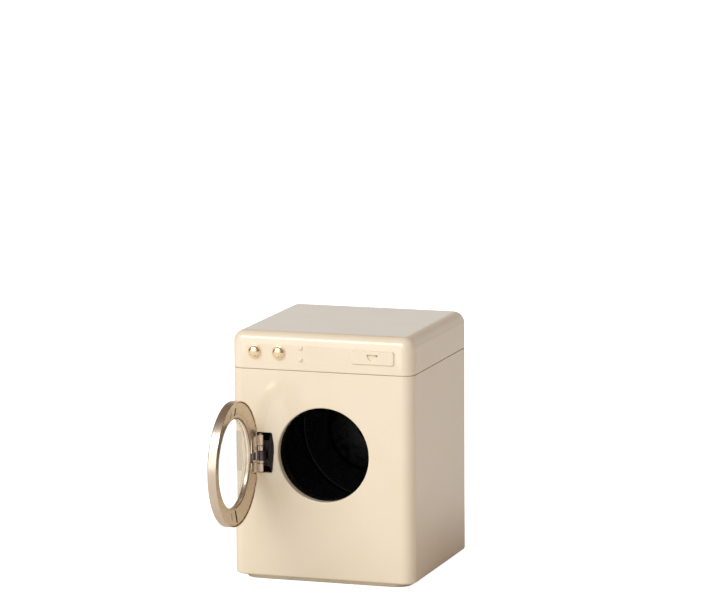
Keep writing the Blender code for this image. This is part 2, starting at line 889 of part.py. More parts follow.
def build_hinge_barrel(parts):
    """What is threaded on the hinge's axis between the door's knuckles: pin, spacer and washer."""
    top = barrel_top + stack_gap + pin_head_height
    pin_profile = [
        (0.0, top),
        (pin_head_radius / 2, top),
        (pin_head_radius, top - pin_head_height / 2),
        (pin_head_radius, top - pin_head_height),
        (pin_radius, top - pin_head_height),
        (pin_radius, barrel_bottom),
        (0.0, barrel_bottom),
    ]
    spacer_profile = [
        (spacer_radius, spacer_top),
        (spacer_radius, spacer_top - spacer_length),
        (pin_bore_radius, spacer_top - spacer_length),
        (pin_bore_radius, spacer_top),
    ]
    washer_bottom = hinge_washer_top - hinge_washer_length
    washer_profile = [
        (hinge_washer_radius, hinge_washer_top),
        (hinge_washer_radius, washer_bottom),
        (pin_bore_radius, washer_bottom),
        (pin_bore_radius, hinge_washer_top),
    ]
    pieces = [
        add_turned("hinge_pin", pin_profile, barrel_steps, bright_steel("Steel pin"), parts),
        add_turned("hinge_spacer", spacer_profile, barrel_steps, champagne("Champagne spacer"), parts),
        add_turned("hinge_washer", washer_profile, barrel_steps, champagne("Champagne washer"), parts),
    ]
    for piece in pieces:
        piece.location = (hinge_x, front, 0.0)


def door_depth_at(depth):
    """A depth below the door's inner side, as a place along Y from the hinge axis with the door shut."""
    return -door_gap - depth


def door_ring_points(radius, flat, depth):
    """A circle round the window's middle, cut straight on the hinge side at the flat's distance."""
    points = []
    for step in range(ring_steps):
        angle = full_turn * (step + 0.5) / ring_steps
        x = max(radius * math.cos(angle), -flat)
        points.append((hinge_reach + x, door_depth_at(depth), radius * math.sin(angle)))
    return points


def build_door_ring(parts, cutters, pivot):
    """The pressed cup-shaped ring: a rim, a rounded edge and the outer face round the window."""
    bm = bmesh.new()
    rings = [door_ring_points(ring_radius, ring_flat, 0.0)]
    edge_start = door_depth - door_edge_radius
    for step in range(bend_steps + 1):
        angle = step / bend_steps * math.pi / 2
        inset = door_edge_radius * (1 - math.cos(angle))
        depth = edge_start + door_edge_radius * math.sin(angle)
        rings.append(door_ring_points(ring_radius - inset, ring_flat - inset, depth))
    rings.append(door_ring_points(window_radius, window_radius, door_depth))
    skin(bm, rings)
    mesh = shell_mesh(bm, "door_ring", to_front)
    ring = add_piece("door_ring", mesh, champagne("Champagne ring"), parts, pivot)
    solidify(ring)
    window = add_cutter("ring_wall_window", wall_window_mesh(), cutters, pivot)
    combine(ring, window)
    return ring


def wall_window_mesh():
    """The notch in the ring's flat wall that lets the hinge block's neck out."""
    margin = wall_window_margin
    low = (
        hinge_to_ring - overrun / 2,
        door_depth_at(neck_thickness + margin),
        block_bottom() - margin,
    )
    high = (hinge_to_ring + sheet + overrun / 2, overrun, block_top_end() + margin)
    return box_mesh("ring_wall_window", low, high)


def block_top_end():
    """The hinge block's upper end, measured from the porthole's middle."""
    return barrel_top - porthole_height


def block_bottom():
    return block_top_end() - block_length


def build_door_plate(parts, cutters, pivot):
    """The dished face plate let into the ring's inner side, with a collar round the window."""
    bm = bmesh.new()
    dish_start = plate_radius - plate_bend
    slope_end = window_radius + plate_bend
    rings = [
        door_ring_points(plate_radius, plate_flat, plate_drop + plate_bend + plate_skirt),
        door_ring_points(plate_radius, plate_flat, plate_drop + plate_bend),
        door_ring_points(dish_start, plate_flat - plate_bend, plate_drop),
        door_ring_points(slope_end, slope_end, plate_drop + plate_dish),
        door_ring_points(window_radius, window_radius, plate_drop + plate_dish + plate_bend),
        door_ring_points(window_radius, window_radius, plate_collar_depth),
    ]
    skin(bm, rings)
    mesh = shell_mesh(bm, "door_plate", -to_front)
    plate = add_piece("door_plate", mesh, champagne("Champagne plate"), parts, pivot)
    solidify(plate)
    gap = fit_gap
    low = (hinge_to_ring, door_depth_at(door_depth - sheet), block_bottom() - gap)
    high = (block_inner_end() + gap, door_depth_at(-overrun), block_top_end() + gap)
    notch = add_cutter("plate_notch", box_mesh("plate_notch", low, high, block_corner), cutters, pivot)
    combine(plate, notch)
    return plate


def block_inner_end():
    """How far the hinge block reaches from the hinge's axis into the door."""
    return hinge_to_ring + sheet + fit_gap + block_reach - fit_gap


def build_door_pane(parts, pivot):
    """The clear pane between the plate's collar and the ring's outer face."""
    outer = door_depth - sheet - pane_gap
    inner = outer - pane_thickness
    radius = window_radius + pane_overlap
    profile = [
        (0.0, outer),
        (radius - pane_edge, outer),
        (radius, outer - pane_edge),
        (radius, inner + pane_edge),
        (radius - pane_edge, inner),
        (0.0, inner),
    ]
    pane = add_turned("door_pane", profile, ring_steps, clear_plastic("Clear pane"), parts, pivot)
    pane.rotation_euler = (math.pi / 2, 0.0, 0.0)
    pane.location = (hinge_reach, -door_gap, 0.0)
    return pane


def build_hinge_block(parts, cutters, pivot):
    """The door's hinge half: a pad behind the plate, a neck through the ring's wall and two knuckles."""
    top = block_top_end()
    bottom = block_bottom()
    pad_low = (
        hinge_to_ring + sheet + fit_gap,
        door_depth_at(block_top + block_thickness),
        bottom,
    )
    pad_high = (block_inner_end(), door_depth_at(block_top), top)
    pad = box_mesh("door_hinge_block", pad_low, pad_high, block_corner, bend_steps)
    block = add_piece("door_hinge_block", pad, champagne("Champagne hinge block"), parts, pivot)
    neck_low = (neck_start, door_depth_at(neck_thickness), bottom)
    neck_high = (pad_low[0] + sheet, door_depth_at(0.0), top)
    neck = add_cutter("block_neck", box_mesh("block_neck", neck_low, neck_high), cutters, pivot)
    tube = cylinder_mesh("block_tube", barrel_radius, bottom, top, barrel_steps)
    bore = cylinder_mesh("block_bore", pin_bore_radius, bottom - overrun, top + overrun, barrel_steps)
    combine(block, neck, "UNION")
    combine(block, add_cutter("block_tube", tube, cutters, pivot), "UNION")
    combine(block, add_cutter("block_bore", bore, cutters, pivot))
    gap_top = top - upper_knuckle_length
    gap_bottom = lower_knuckle_top - porthole_height
    gap_low = (-barrel_radius - overrun, door_depth_at(door_depth), gap_bottom)
    gap_high = (hinge_to_ring - fit_gap, barrel_radius + overrun, gap_top)
    knuckle_gap = box_mesh("knuckle_gap", gap_low, gap_high)
    combine(block, add_cutter("knuckle_gap", knuckle_gap, cutters, pivot))
    middle = bracket_middle - porthole_height
    slot_low = (
        hinge_to_ring - overrun,
        door_depth_at(leaf_depth + leaf_thickness + fit_gap),
        middle - block_slot_length / 2,
    )
    slot_high = (
        block_inner_end() + overrun,
        door_depth_at(-overrun),
        middle + block_slot_length / 2,
    )
    slot = box_mesh("leaf_slot", slot_low, slot_high)
    combine(block, add_cutter("leaf_slot", slot, cutters, pivot))
    rivet_x, rivet_z = rivet_place()
    hole = cylinder_mesh(
        "block_rivet_hole", rivet_radius + fit_gap / 2, door_depth_at(door_depth), door_depth_at(-overrun),
        screw_steps, "Y", (rivet_x, rivet_z),
    )
    combine(block, add_cutter("block_rivet_hole", hole, cutters, pivot))
    return block


def rivet_place():
    """Where the rivet goes through the hinge block, from the hinge's axis and the porthole's middle."""
    return block_inner_end() - rivet_inset, bracket_middle - porthole_height + block_slot_length / 2 + rivet_rise / 2


def build_detent_leaf(parts, pivot):
    """The bright spring leaf in the block's slot, whose curled end bears on the bracket's loop."""
    half = (bracket_length - 2 * fit_gap) / 2
    middle = bracket_middle - porthole_height
    tip = barrel_radius + fit_gap
    depth = leaf_depth
    run = [
        (tip, depth - leaf_curl),
        (tip + leaf_curl, depth),
        (hinge_to_ring, depth),
        (hinge_to_ring + leaf_reach / 2, depth),
    ]
    bm = bmesh.new()
    verts = [bm.verts.new((x, door_depth_at(d), middle - half)) for x, d in run]
    edges = [bm.edges.new(pair) for pair in zip(verts, verts[1:])]
    raised = bmesh.ops.extrude_edge_only(bm, edges=edges)["geom"]
    bmesh.ops.translate(
        bm, vec=(0.0, 0.0, 2 * half), verts=[item for item in raised if isinstance(item, bmesh.types.BMVert)]
    )
    mesh = shell_mesh(bm, "hinge_detent_leaf", -to_front)
    leaf = add_piece("hinge_detent_leaf", mesh, bright_steel("Steel leaf"), parts, pivot)
    solidify(leaf, leaf_thickness)
    return leaf


def build_block_rivet(parts, pivot):
    """The small rivet through the hinge block."""
    x, z = rivet_place()
    profile = [
        (0.0, rivet_head_height),
        (rivet_head_radius / 2, rivet_head_height),
        (rivet_head_radius, 0.0),
        (rivet_radius, 0.0),
        (rivet_radius, -block_thickness),
        (0.0, -block_thickness),
    ]
    rivet = add_turned("hinge_block_rivet", profile, screw_steps, dark_steel("Dark rivet"), parts, pivot)
    rivet.rotation_euler = (-math.pi / 2, 0.0, 0.0)
    rivet.location = (x, door_depth_at(block_top - fit_gap / 2), z)
    return rivet


def dome(radius, height, shares):
    """Outline of a low dome from its middle outwards, by shares of its radius and rise."""
    return [(radius * across, height * rise) for across, rise in shares]


def build_dials(parts):
    """Each dial turns on its own stem and is held by a washer and a push-on clip behind the cap."""
    pivots = {}
    for side, x in dial_places():
        pivot = new_pivot(f"dial_{side}_axis", (x, front, dial_height), parts)
        pivots[side] = pivot
        seat = fit_gap
        rim = seat + dial_skirt
        tail = -(sheet + fit_gap + washer_thickness + fit_gap + clip_thickness + stem_tail)
        profile = [(r, rim + h) for r, h in dome(dial_radius, dial_dome, dome_shares)]
        profile += [
            (dial_radius - dial_edge / 3, rim + dial_edge / 3),
            (dial_radius, rim - dial_edge),
            (dial_radius, seat + dial_edge),
            (dial_radius - dial_edge, seat),
            (stem_radius, seat),
            (stem_radius, tail),
            (0.0, tail),
        ]
        dial = add_turned(f"dial_{side}", profile, dial_steps, polished_gold(f"Gold dial {side}"), parts, pivot)
        dial.rotation_euler = (math.pi / 2, 0.0, 0.0)
        washer_front = sheet + fit_gap
        washer = ring_profile(stem_radius + fit_gap, washer_radius, washer_front, washer_thickness)
        clip_front = washer_front + washer_thickness + fit_gap
        clip = ring_profile(stem_radius + fit_gap / 2, clip_radius, clip_front, clip_thickness)
        for kind, outline in (("washer", washer), ("clip", clip)):
            piece = add_turned(
                f"dial_{side}_{kind}", outline, small_steps, bright_steel(f"Steel {kind} {side}"), parts, pivot
            )
            lay_back(piece)
    return pivots


def ring_profile(inner, outer, start, thickness):
    """A flat washer along its axis, outer side first."""
    return [
        (outer, start + thickness),
        (outer, start),
        (inner, start),
        (inner, start + thickness),
    ]


def build_drum(parts, pivot):
    """The drum: a cup with a dished back and hub, a front ring round its mouth and the lifters."""
    lip = mouth_lip
    cup_front = mouth_back + fit_gap
    profile = [
        (drum_inner, cup_front),
        (drum_radius, cup_front),
        (drum_radius, drum_back - lip),
        (drum_radius - lip, drum_back),
        (back_dish_radius, drum_back),
        (back_dish_radius - back_dish_depth, drum_back - back_dish_depth),
        (hub_radius, drum_back - back_dish_depth),
        (hub_radius, hub_back),
        (spindle_bore, hub_back),
        (spindle_bore, drum_back - drum_back_thickness - back_dish_depth),
        (back_dish_radius - back_dish_depth - drum_back_thickness / 2, drum_back - drum_back_thickness - back_dish_depth),
        (back_dish_radius - drum_back_thickness / 2, drum_back - drum_back_thickness),
        (drum_inner, drum_back - drum_back_thickness),
    ]
    cup = add_turned("drum_cup", list(reversed(profile)), drum_steps, black_plastic("Black drum"), parts, pivot)
    lay_back(cup)

    spigot = drum_inner - fit_gap
    ring_outline = [
        (mouth_radius, mouth_front + lip),
        (mouth_radius + lip, mouth_front),
        (drum_radius - lip, mouth_front),
        (drum_radius, mouth_front + lip),
        (drum_radius, mouth_back),
        (spigot, mouth_back),
        (spigot, mouth_back + mouth_spigot),
        (spigot - drum_wall, mouth_back + mouth_spigot),
        (spigot - drum_wall, mouth_back),
        (mouth_radius, mouth_back),
    ]
    front_ring = add_turned(
        "drum_front_ring", list(reversed(ring_outline)), drum_steps, black_plastic("Black drum ring"), parts, pivot
    )
    lay_back(front_ring)
    for index in range(lifter_count):
        build_lifter(index, parts, pivot)


def build_lifter(index, parts, pivot):
    """A ridge along the drum's inside wall, narrower at its crest and sloped at both ends."""
    base = drum_inner * math.cos(math.asin(lifter_base / 2 / drum_inner)) - fit_gap
    start = mouth_back + mouth_spigot + lifter_margin
    end = drum_back - drum_back_thickness - lifter_margin
    bm = bmesh.new()
    bmesh.ops.create_cube(bm, size=1.0)
    for vert in bm.verts:
        crest = vert.co.z > 0
        width = lifter_crest if crest else lifter_base
        inset = lifter_end_slope if crest else 0.0
        vert.co.x *= width
        vert.co.y = start + inset if vert.co.y < 0 else end - inset
        vert.co.z = -base + (lifter_height if crest else 0.0)
    crest_edges = [e for e in bm.edges if all(v.co.z > lifter_height / 2 - base for v in e.verts)]
    bmesh.ops.bevel(
        bm, geom=crest_edges, offset=lifter_crest / 4, segments=2, profile=0.5, affect="EDGES"
    )
    mesh = mesh_from(bm, f"drum_lifter_{index + 1}")
    lifter = add_piece(
        f"drum_lifter_{index + 1}", mesh, black_plastic(f"Black lifter {index + 1}"), parts, pivot
    )
    lifter.rotation_euler = (0.0, full_turn * index / lifter_count, 0.0)


def build_spindle(parts, pivot):
    """The steel spindle with its collar, from the nut inside the drum to the hand knob behind."""
    start = drum_back - drum_back_thickness - back_dish_depth - cap_nut_height / 2
    end = knob_front + knob_height - knob_recess_depth - fit_gap
    profile = [
        (0.0, start),
        (spindle_radius, start),
        (spindle_radius, collar_front),
        (spindle_collar_radius, collar_front),
        (spindle_collar_radius, collar_front + spindle_collar),
        (spindle_radius, collar_front + spindle_collar),
        (spindle_radius, end),
        (0.0, end),
    ]
    spindle = add_turned(
        "drum_spindle", list(reversed(profile)), small_steps, bright_steel("Steel spindle"), parts, pivot
    )
    lay_back(spindle)
    nut_back = drum_back - drum_back_thickness - back_dish_depth - fit_gap
    inner_end = nut_back - cap_nut_height + sheet
    bore = spindle_radius + fit_gap
    nut = [(0.0, inner_end), (bore, inner_end), (bore, nut_back)]
    nut += [(cap_nut_radius * across, nut_back - cap_nut_height * along) for along, across in cap_nut_shares]
    nut.append((0.0, nut_back - cap_nut_height))
    cap_nut = add_turned(
        "drum_cap_nut", nut, small_steps, polished_gold("Gold cap nut"), parts, pivot
    )
    lay_back(cap_nut)
    washer = ring_profile(spindle_bore, thrust_washer_radius, thrust_front, thrust_washer_thickness)
    thrust = add_turned(
        "thrust_washer", washer, small_steps, bright_steel("Steel thrust washer"), parts, pivot
    )
    lay_back(thrust)


def build_rear_bearing(parts):
    """The bearing bush in the cabinet's back and the ring nut that clamps it there."""
    profile = [
        (bush_radius, bush_front),
        (bush_radius, bush_flange_back - bush_flange_thickness),
        (bush_flange_radius, bush_flange_back - bush_flange_thickness),
        (bush_flange_radius, bush_flange_back),
        (bush_radius, bush_flange_back),
        (bush_radius, bush_back),
        (spindle_bore, bush_back),
        (spindle_bore, bush_front),
    ]
    bush = add_turned("rear_bush", list(reversed(profile)), small_steps, black_plastic("Black bush"), parts)
    nut_front = back + fit_gap
    nut = ring_profile(bush_radius + fit_gap, ring_nut_radius, nut_front, ring_nut_thickness)
    ring_nut = add_turned("rear_ring_nut", nut, screw_steps, bright_steel("Steel ring nut"), parts)
    for piece in (bush, ring_nut):
        lay_back(piece)
        piece.location.x = porthole_offset
        piece.location.z = porthole_height


def build_rear_knob(parts, cutters, pivot):
    """The fluted hand knob behind the cabinet, which turns the drum, and the screw in its middle."""
    bore = spindle_bore
    recess = knob_back - knob_recess_depth
    profile = [
        (bore, knob_front),
        (knob_radius - knob_edge, knob_front),
        (knob_radius, knob_front + knob_edge),
        (knob_radius, knob_back - knob_edge),
        (knob_radius - knob_edge, knob_back),
        (knob_recess_radius, knob_back),
        (knob_recess_radius, recess),
        (bore, recess),
    ]
    knob = add_turned(
        "rear_knob", list(reversed(profile)), knob_steps, champagne("Champagne knob"), parts, pivot
    )
    lay_back(knob)
    for index in range(flute_count):
        angle = full_turn * (index + 0.5) / flute_count
        reach = knob_radius + flute_radius - flute_proud
        place = (reach * math.cos(angle), reach * math.sin(angle))
        mesh = cylinder_mesh(
            f"knob_flute_{index}", flute_radius, knob_front - overrun, knob_back + overrun, screw_steps, "Y", place
        )
        combine(knob, add_cutter(f"knob_flute_{index}", mesh, cutters, pivot))
    seat = recess + fit_gap
    head = screw_profile(knob_recess_radius - fit_gap, knob_recess_depth / 2, spindle_radius / 2, fit_gap / 2)
    screw = add_turned("knob_screw", head, small_steps, bright_steel("Steel knob screw"), parts, pivot)
    lay_back(screw, seat)
    half = screw_slot_width
    low = (-knob_recess_radius, -half, knob_recess_depth / 2 - screw_slot_depth * 2)
    high = (knob_recess_radius, half, knob_recess_depth)
    slot = add_cutter("knob_screw_slot", box_mesh("knob_screw_slot", low, high), cutters, screw)
    combine(screw, slot)
    return knob


def build_door(parts, cutters):
    """Everything that swings on the hinge, made with the door shut and then turned open."""
    pivot = new_pivot("door_hinge_axis", (hinge_x, front, porthole_height), parts)
    build_door_ring(parts, cutters, pivot)
    build_door_plate(parts, cutters, pivot)
    build_door_pane(parts, pivot)
    build_hinge_block(parts, cutters, pivot)
    build_detent_leaf(parts, pivot)
    build_block_rivet(parts, pivot)
    pivot.rotation_euler = (0.0, 0.0, -door_open_angle)
    return pivot


def main():
    clear_scene()
    parts = new_collection("Toy washing machine")
    cutters = new_collection("Cutters")
    build_cabinet_wrap(parts, cutters)
    build_top_cap(parts)
    build_base_pan(parts)
    build_front_moulding(parts, cutters)
    build_hinge_bracket(parts, cutters)
    build_bracket_screws(parts, cutters)
    build_hinge_barrel(parts)
    build_door(parts, cutters)
    build_dials(parts)
    drum_pivot = new_pivot("drum_axis", (porthole_offset, 0.0, porthole_height), parts)
    build_drum(parts, drum_pivot)
    build_spindle(parts, drum_pivot)
    build_rear_bearing(parts)
    build_rear_knob(parts, cutters, drum_pivot)


main()
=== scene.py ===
"""The looks of a toy washing machine of pressed, enamelled tin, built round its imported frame.

Lengths are in metres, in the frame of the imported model: the foot stands on Z = 0, the front faces -Y,
and +X is to the right of someone who looks at the front. The door stands open at a right angle.
"""

import logging
import math
from collections.abc import Iterable, Iterator, Sequence
from dataclasses import dataclass
from enum import Enum

import bmesh
import bpy
from mathutils import Matrix, Vector


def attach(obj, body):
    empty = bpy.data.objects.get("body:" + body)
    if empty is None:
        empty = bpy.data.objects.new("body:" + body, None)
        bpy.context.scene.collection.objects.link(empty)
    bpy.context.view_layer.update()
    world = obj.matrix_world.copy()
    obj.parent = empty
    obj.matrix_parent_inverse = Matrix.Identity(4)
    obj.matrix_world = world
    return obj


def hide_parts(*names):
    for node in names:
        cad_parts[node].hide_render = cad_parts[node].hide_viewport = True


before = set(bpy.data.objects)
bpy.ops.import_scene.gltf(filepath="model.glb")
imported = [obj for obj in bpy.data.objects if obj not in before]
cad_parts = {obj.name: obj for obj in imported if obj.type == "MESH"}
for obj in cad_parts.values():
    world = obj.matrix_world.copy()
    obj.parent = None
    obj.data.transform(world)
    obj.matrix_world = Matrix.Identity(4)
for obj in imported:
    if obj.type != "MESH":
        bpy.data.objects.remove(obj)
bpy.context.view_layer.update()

log = logging.getLogger("toy washing machine")

# A place, an outline's corner (two places and a rounding), and a colour's red, green and blue.
Point = tuple[float, float, float]
Corner = tuple[float, float, float]
Colour = tuple[float, float, float]

# How near two points are that count as one, turns in radians, and the bend from which an edge is sharp.
TOUCHING = 1e-6
QUARTER_TURN = math.pi / 2
FULL_TURN = 2 * math.pi
SHARP = math.radians(30.0)

# The front's outer face, the hinge pin, the middle of porthole and drum, and the middles of the dials.
FRONT = -0.04785
PIN = -0.03288
MIDDLE: Point = (0.0008, 0.0, 0.0674)
DIALS = (-0.0358, -0.0228)
DIAL_HEIGHT = 0.1196


def on_set(name: str, data: bpy.types.ID) -> bpy.types.Object:
    """Put a new object in the scene.

    Args:
        name: The object's name.
        data: The mesh, light or camera that it shows.

    Returns:
        The object.
    """
    shown = bpy.data.objects.new(name, data)
    bpy.context.scene.collection.objects.link(shown)
    return shown


def verts_of(geom: Iterable[object]) -> list[bmesh.types.BMVert]:
    """The points among what an operator gave."""
    return [item for item in geom if isinstance(item, bmesh.types.BMVert)]


class Body(Enum):
    """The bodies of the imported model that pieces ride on."""

    CABINET = "cabinet"
    DOOR = "door"
    LEFT_DIAL = "left_dial"
    RIGHT_DIAL = "right_dial"
    DRUM = "drum"


class Slot(Enum):
    """The record's material slots."""

    CREAM = "cream_enamel"
    CHAMPAGNE = "champagne_metal"
    GOLD = "gold_metal"
    BLACK = "black_plastic"
    BRIGHT = "bright_steel"
    DARK = "dark_steel"
    CLEAR = "clear_plastic"


class Facing(Enum):
    """The way that a turned piece's own axis points once it is in place."""

    UP = 0.0
    FRONT = QUARTER_TURN
    BACK = -QUARTER_TURN

    def at(self, place: Point) -> Matrix:
        """Give the transform that turns a piece this way and sets it at a place."""
        return Matrix.Translation(place) @ Matrix.Rotation(self.value, 4, "X")


class Axis(Enum):
    """The three directions of the model's frame."""

    X = 0
    Y = 1
    Z = 2


class Wiring:
    """Adds nodes to one node tree and joins them."""

    def __init__(self, tree: bpy.types.NodeTree) -> None:
        """Start on a tree.

        Args:
            tree: The node tree of a material, a world or a shader group.
        """
        self.tree = tree

    def feed(self, socket: bpy.types.NodeSocket, value: object) -> None:
        """Join another node's output to an input, or give it a plain value.

        Args:
            socket: The input.
            value: The output, or a number, vector or colour.
        """
        if isinstance(value, bpy.types.NodeSocket):
            self.tree.links.new(value, socket)
        else:
            socket.default_value = value

    def add(self, kind: str, sockets: dict | None = None, **settings: object) -> bpy.types.Node:
        """Add one node.

        Args:
            kind: The node's type.
            sockets: What each named or numbered input gets.
            settings: The node's own options.

        Returns:
            The new node.
        """
        node = self.tree.nodes.new(kind)
        for name, value in settings.items():
            setattr(node, name, value)
        for name, value in (sockets or {}).items():
            self.feed(node.inputs[name], value)
        return node

    def maths(self, operation: str, *values: object) -> bpy.types.NodeSocket:
        """Work out one number from others."""
        node = self.add("ShaderNodeMath", dict(enumerate(values)), operation=operation)
        return node.outputs[0]

    def vector(self, operation: str, *values: object, out: str = "Vector") -> bpy.types.NodeSocket:
        """Work out a vector, or with out="Value" a number, from vectors."""
        node = self.add("ShaderNodeVectorMath", dict(enumerate(values)), operation=operation)
        return node.outputs[out]

    def spread(
        self, value: object, low: float, high: float, start: float, end: float
    ) -> bpy.types.NodeSocket:
        """Stretch a value from one range to another, held at both ends."""
        node = self.add("ShaderNodeMapRange", {0: value, 1: low, 2: high, 3: start, 4: end})
        return node.outputs[0]

    def mixed(self, share: object, *tones: object) -> bpy.types.NodeSocket:
        """Mix two colours.

        Args:
            share: How much of the second shows.
            tones: The two, each a plain colour or an output.

        Returns:
            The mixed colour.
        """
        first, second = ((*tone, 1.0) if isinstance(tone, tuple) else tone for tone in tones)
        node = self.add("ShaderNodeMix", {0: share, 6: first, 7: second}, data_type="RGBA")
        return node.outputs[2]

    def noise(self, place: object, scale: object, detail: float = 2.0) -> bpy.types.NodeSocket:
        """A soft random pattern with so many cells to the metre."""
        node = self.add("ShaderNodeTexNoise", {"Vector": place, "Scale": scale, "Detail": detail})
        return node.outputs[0]


class Effects:
    """The shared effects, each a shader node group that is built once."""

    def __init__(self) -> None:
        """Build every group."""
        self.coat_ripple = self._coat_ripple()
        self.tone_drift = self._tone_drift()
        self.edge_wear = self._edge_wear()
        self.settled_dust = self._settled_dust()
        self.turned_grain = self._turned_grain()
        self.fine_grain = self._fine_grain()

    @staticmethod
    def _new(
        name: str, inputs: Iterable[str], outputs: Iterable[str]
    ) -> tuple[Wiring, bpy.types.bpy_prop_collection, bpy.types.bpy_prop_collection]:
        """Start a group whose input Place is a vector and whose other sockets are numbers.

        Args:
            name: The group's name.
            inputs: Its inputs besides Place.
            outputs: Its outputs.

        Returns:
            The group's wiring, what it is given and what it puts out.
        """
        tree = bpy.data.node_groups.new(name, "ShaderNodeTree")
        tree.interface.new_socket(name="Place", in_out="INPUT", socket_type="NodeSocketVector")
        for label in inputs:
            tree.interface.new_socket(name=label, in_out="INPUT", socket_type="NodeSocketFloat")
        for label in outputs:
            tree.interface.new_socket(name=label, in_out="OUTPUT", socket_type="NodeSocketFloat")
        wiring = Wiring(tree)
        return wiring, wiring.add("NodeGroupInput").outputs, wiring.add("NodeGroupOutput").inputs

    def _coat_ripple(self) -> bpy.types.NodeTree:
        """The fine ripple of a sprayed coat over the wide waves of the sheet under it."""
        w, given, result = self._new("Coat ripple", ("Fine scale", "Wide scale", "Wide share"), ("Height",))
        fine = w.noise(given["Place"], given["Fine scale"], 1.5)
        wide = w.noise(given["Place"], given["Wide scale"], 0.0)
        w.feed(result["Height"], w.maths("MULTIPLY_ADD", wide, given["Wide share"], fine))
        return w.tree

    def _tone_drift(self) -> bpy.types.NodeTree:
        """Slow patches in a colour or a gloss, from 0 to 1."""
        w, given, result = self._new("Tone drift", ("Scale",), ("Mask",))
        patches = w.noise(given["Place"], given["Scale"], 3.0)
        w.feed(result["Mask"], w.spread(patches, 0.32, 0.68, 0.0, 1.0))
        return w.tree

    def _edge_wear(self) -> bpy.types.NodeTree:
        """Where hands and handling reach: outer edges, broken up along their run."""
        w, given, result = self._new("Edge wear", ("Reach", "Scale"), ("Mask",))
        rounded = w.add("ShaderNodeBevel", {"Radius": given["Reach"]}, samples=4).outputs[0]
        surface = w.add("ShaderNodeNewGeometry").outputs["Normal"]
        bend = w.maths("SUBTRACT", 1.0, w.vector("DOT_PRODUCT", rounded, surface, out="Value"))
        edge = w.spread(bend, 0.01, 0.12, 0.0, 1.0)
        broken = w.spread(w.noise(given["Place"], given["Scale"], 4.0), 0.35, 0.65, 0.15, 1.0)
        w.feed(result["Mask"], w.maths("MULTIPLY", edge, broken))
        return w.tree

    def _settled_dust(self) -> bpy.types.NodeTree:
        """Fine dust on faces that look up."""
        w, given, result = self._new("Settled dust", ("Scale",), ("Mask",))
        surface = w.add("ShaderNodeNewGeometry").outputs["Normal"]
        level = w.add("ShaderNodeSeparateXYZ", {0: surface}).outputs["Z"]
        specks = w.spread(w.noise(given["Place"], given["Scale"], 6.0), 0.56, 0.70, 0.0, 1.0)
        w.feed(result["Mask"], w.maths("MULTIPLY", w.spread(level, 0.3, 0.95, 0.0, 1.0), specks))
        return w.tree

    def _turned_grain(self) -> bpy.types.NodeTree:
        """The fine rings that a lathe or a brush leaves round an axis, which lies along Z of the place."""
        w, given, result = self._new("Turned grain", ("Lines",), ("Height", "Streak"))
        parts = w.add("ShaderNodeSeparateXYZ", {0: given["Place"]})
        flat = w.add("ShaderNodeCombineXYZ", {"X": parts.outputs["X"], "Y": parts.outputs["Y"]}).outputs[0]
        radius = w.vector("LENGTH", flat, out="Value")
        swing = w.vector("NORMALIZE", flat)
        lines = w.maths("MULTIPLY", radius, given["Lines"])
        rise = w.maths("MULTIPLY", parts.outputs["Z"], given["Lines"])
        track = w.add("ShaderNodeCombineXYZ", {"X": lines, "Y": rise}).outputs[0]
        wander = w.vector("ADD", track, w.vector("MULTIPLY", swing, (0.9, 0.9, 0.0)))
        w.feed(result["Height"], w.noise(wander, 1.0, 3.0))
        w.feed(result["Streak"], w.spread(w.noise(wander, 0.23, 1.0), 0.35, 0.65, 0.0, 1.0))
        return w.tree

    def _fine_grain(self) -> bpy.types.NodeTree:
        """The tight random grain of a moulded, blasted or rolled surface."""
        w, given, result = self._new("Fine grain", ("Scale",), ("Height", "Streak"))
        grain = w.noise(given["Place"], given["Scale"], 4.0)
        coarse = w.noise(given["Place"], w.maths("MULTIPLY", given["Scale"], 0.08), 2.0)
        w.feed(result["Height"], grain)
        w.feed(result["Streak"], w.spread(coarse, 0.35, 0.65, 0.0, 1.0))
        return w.tree


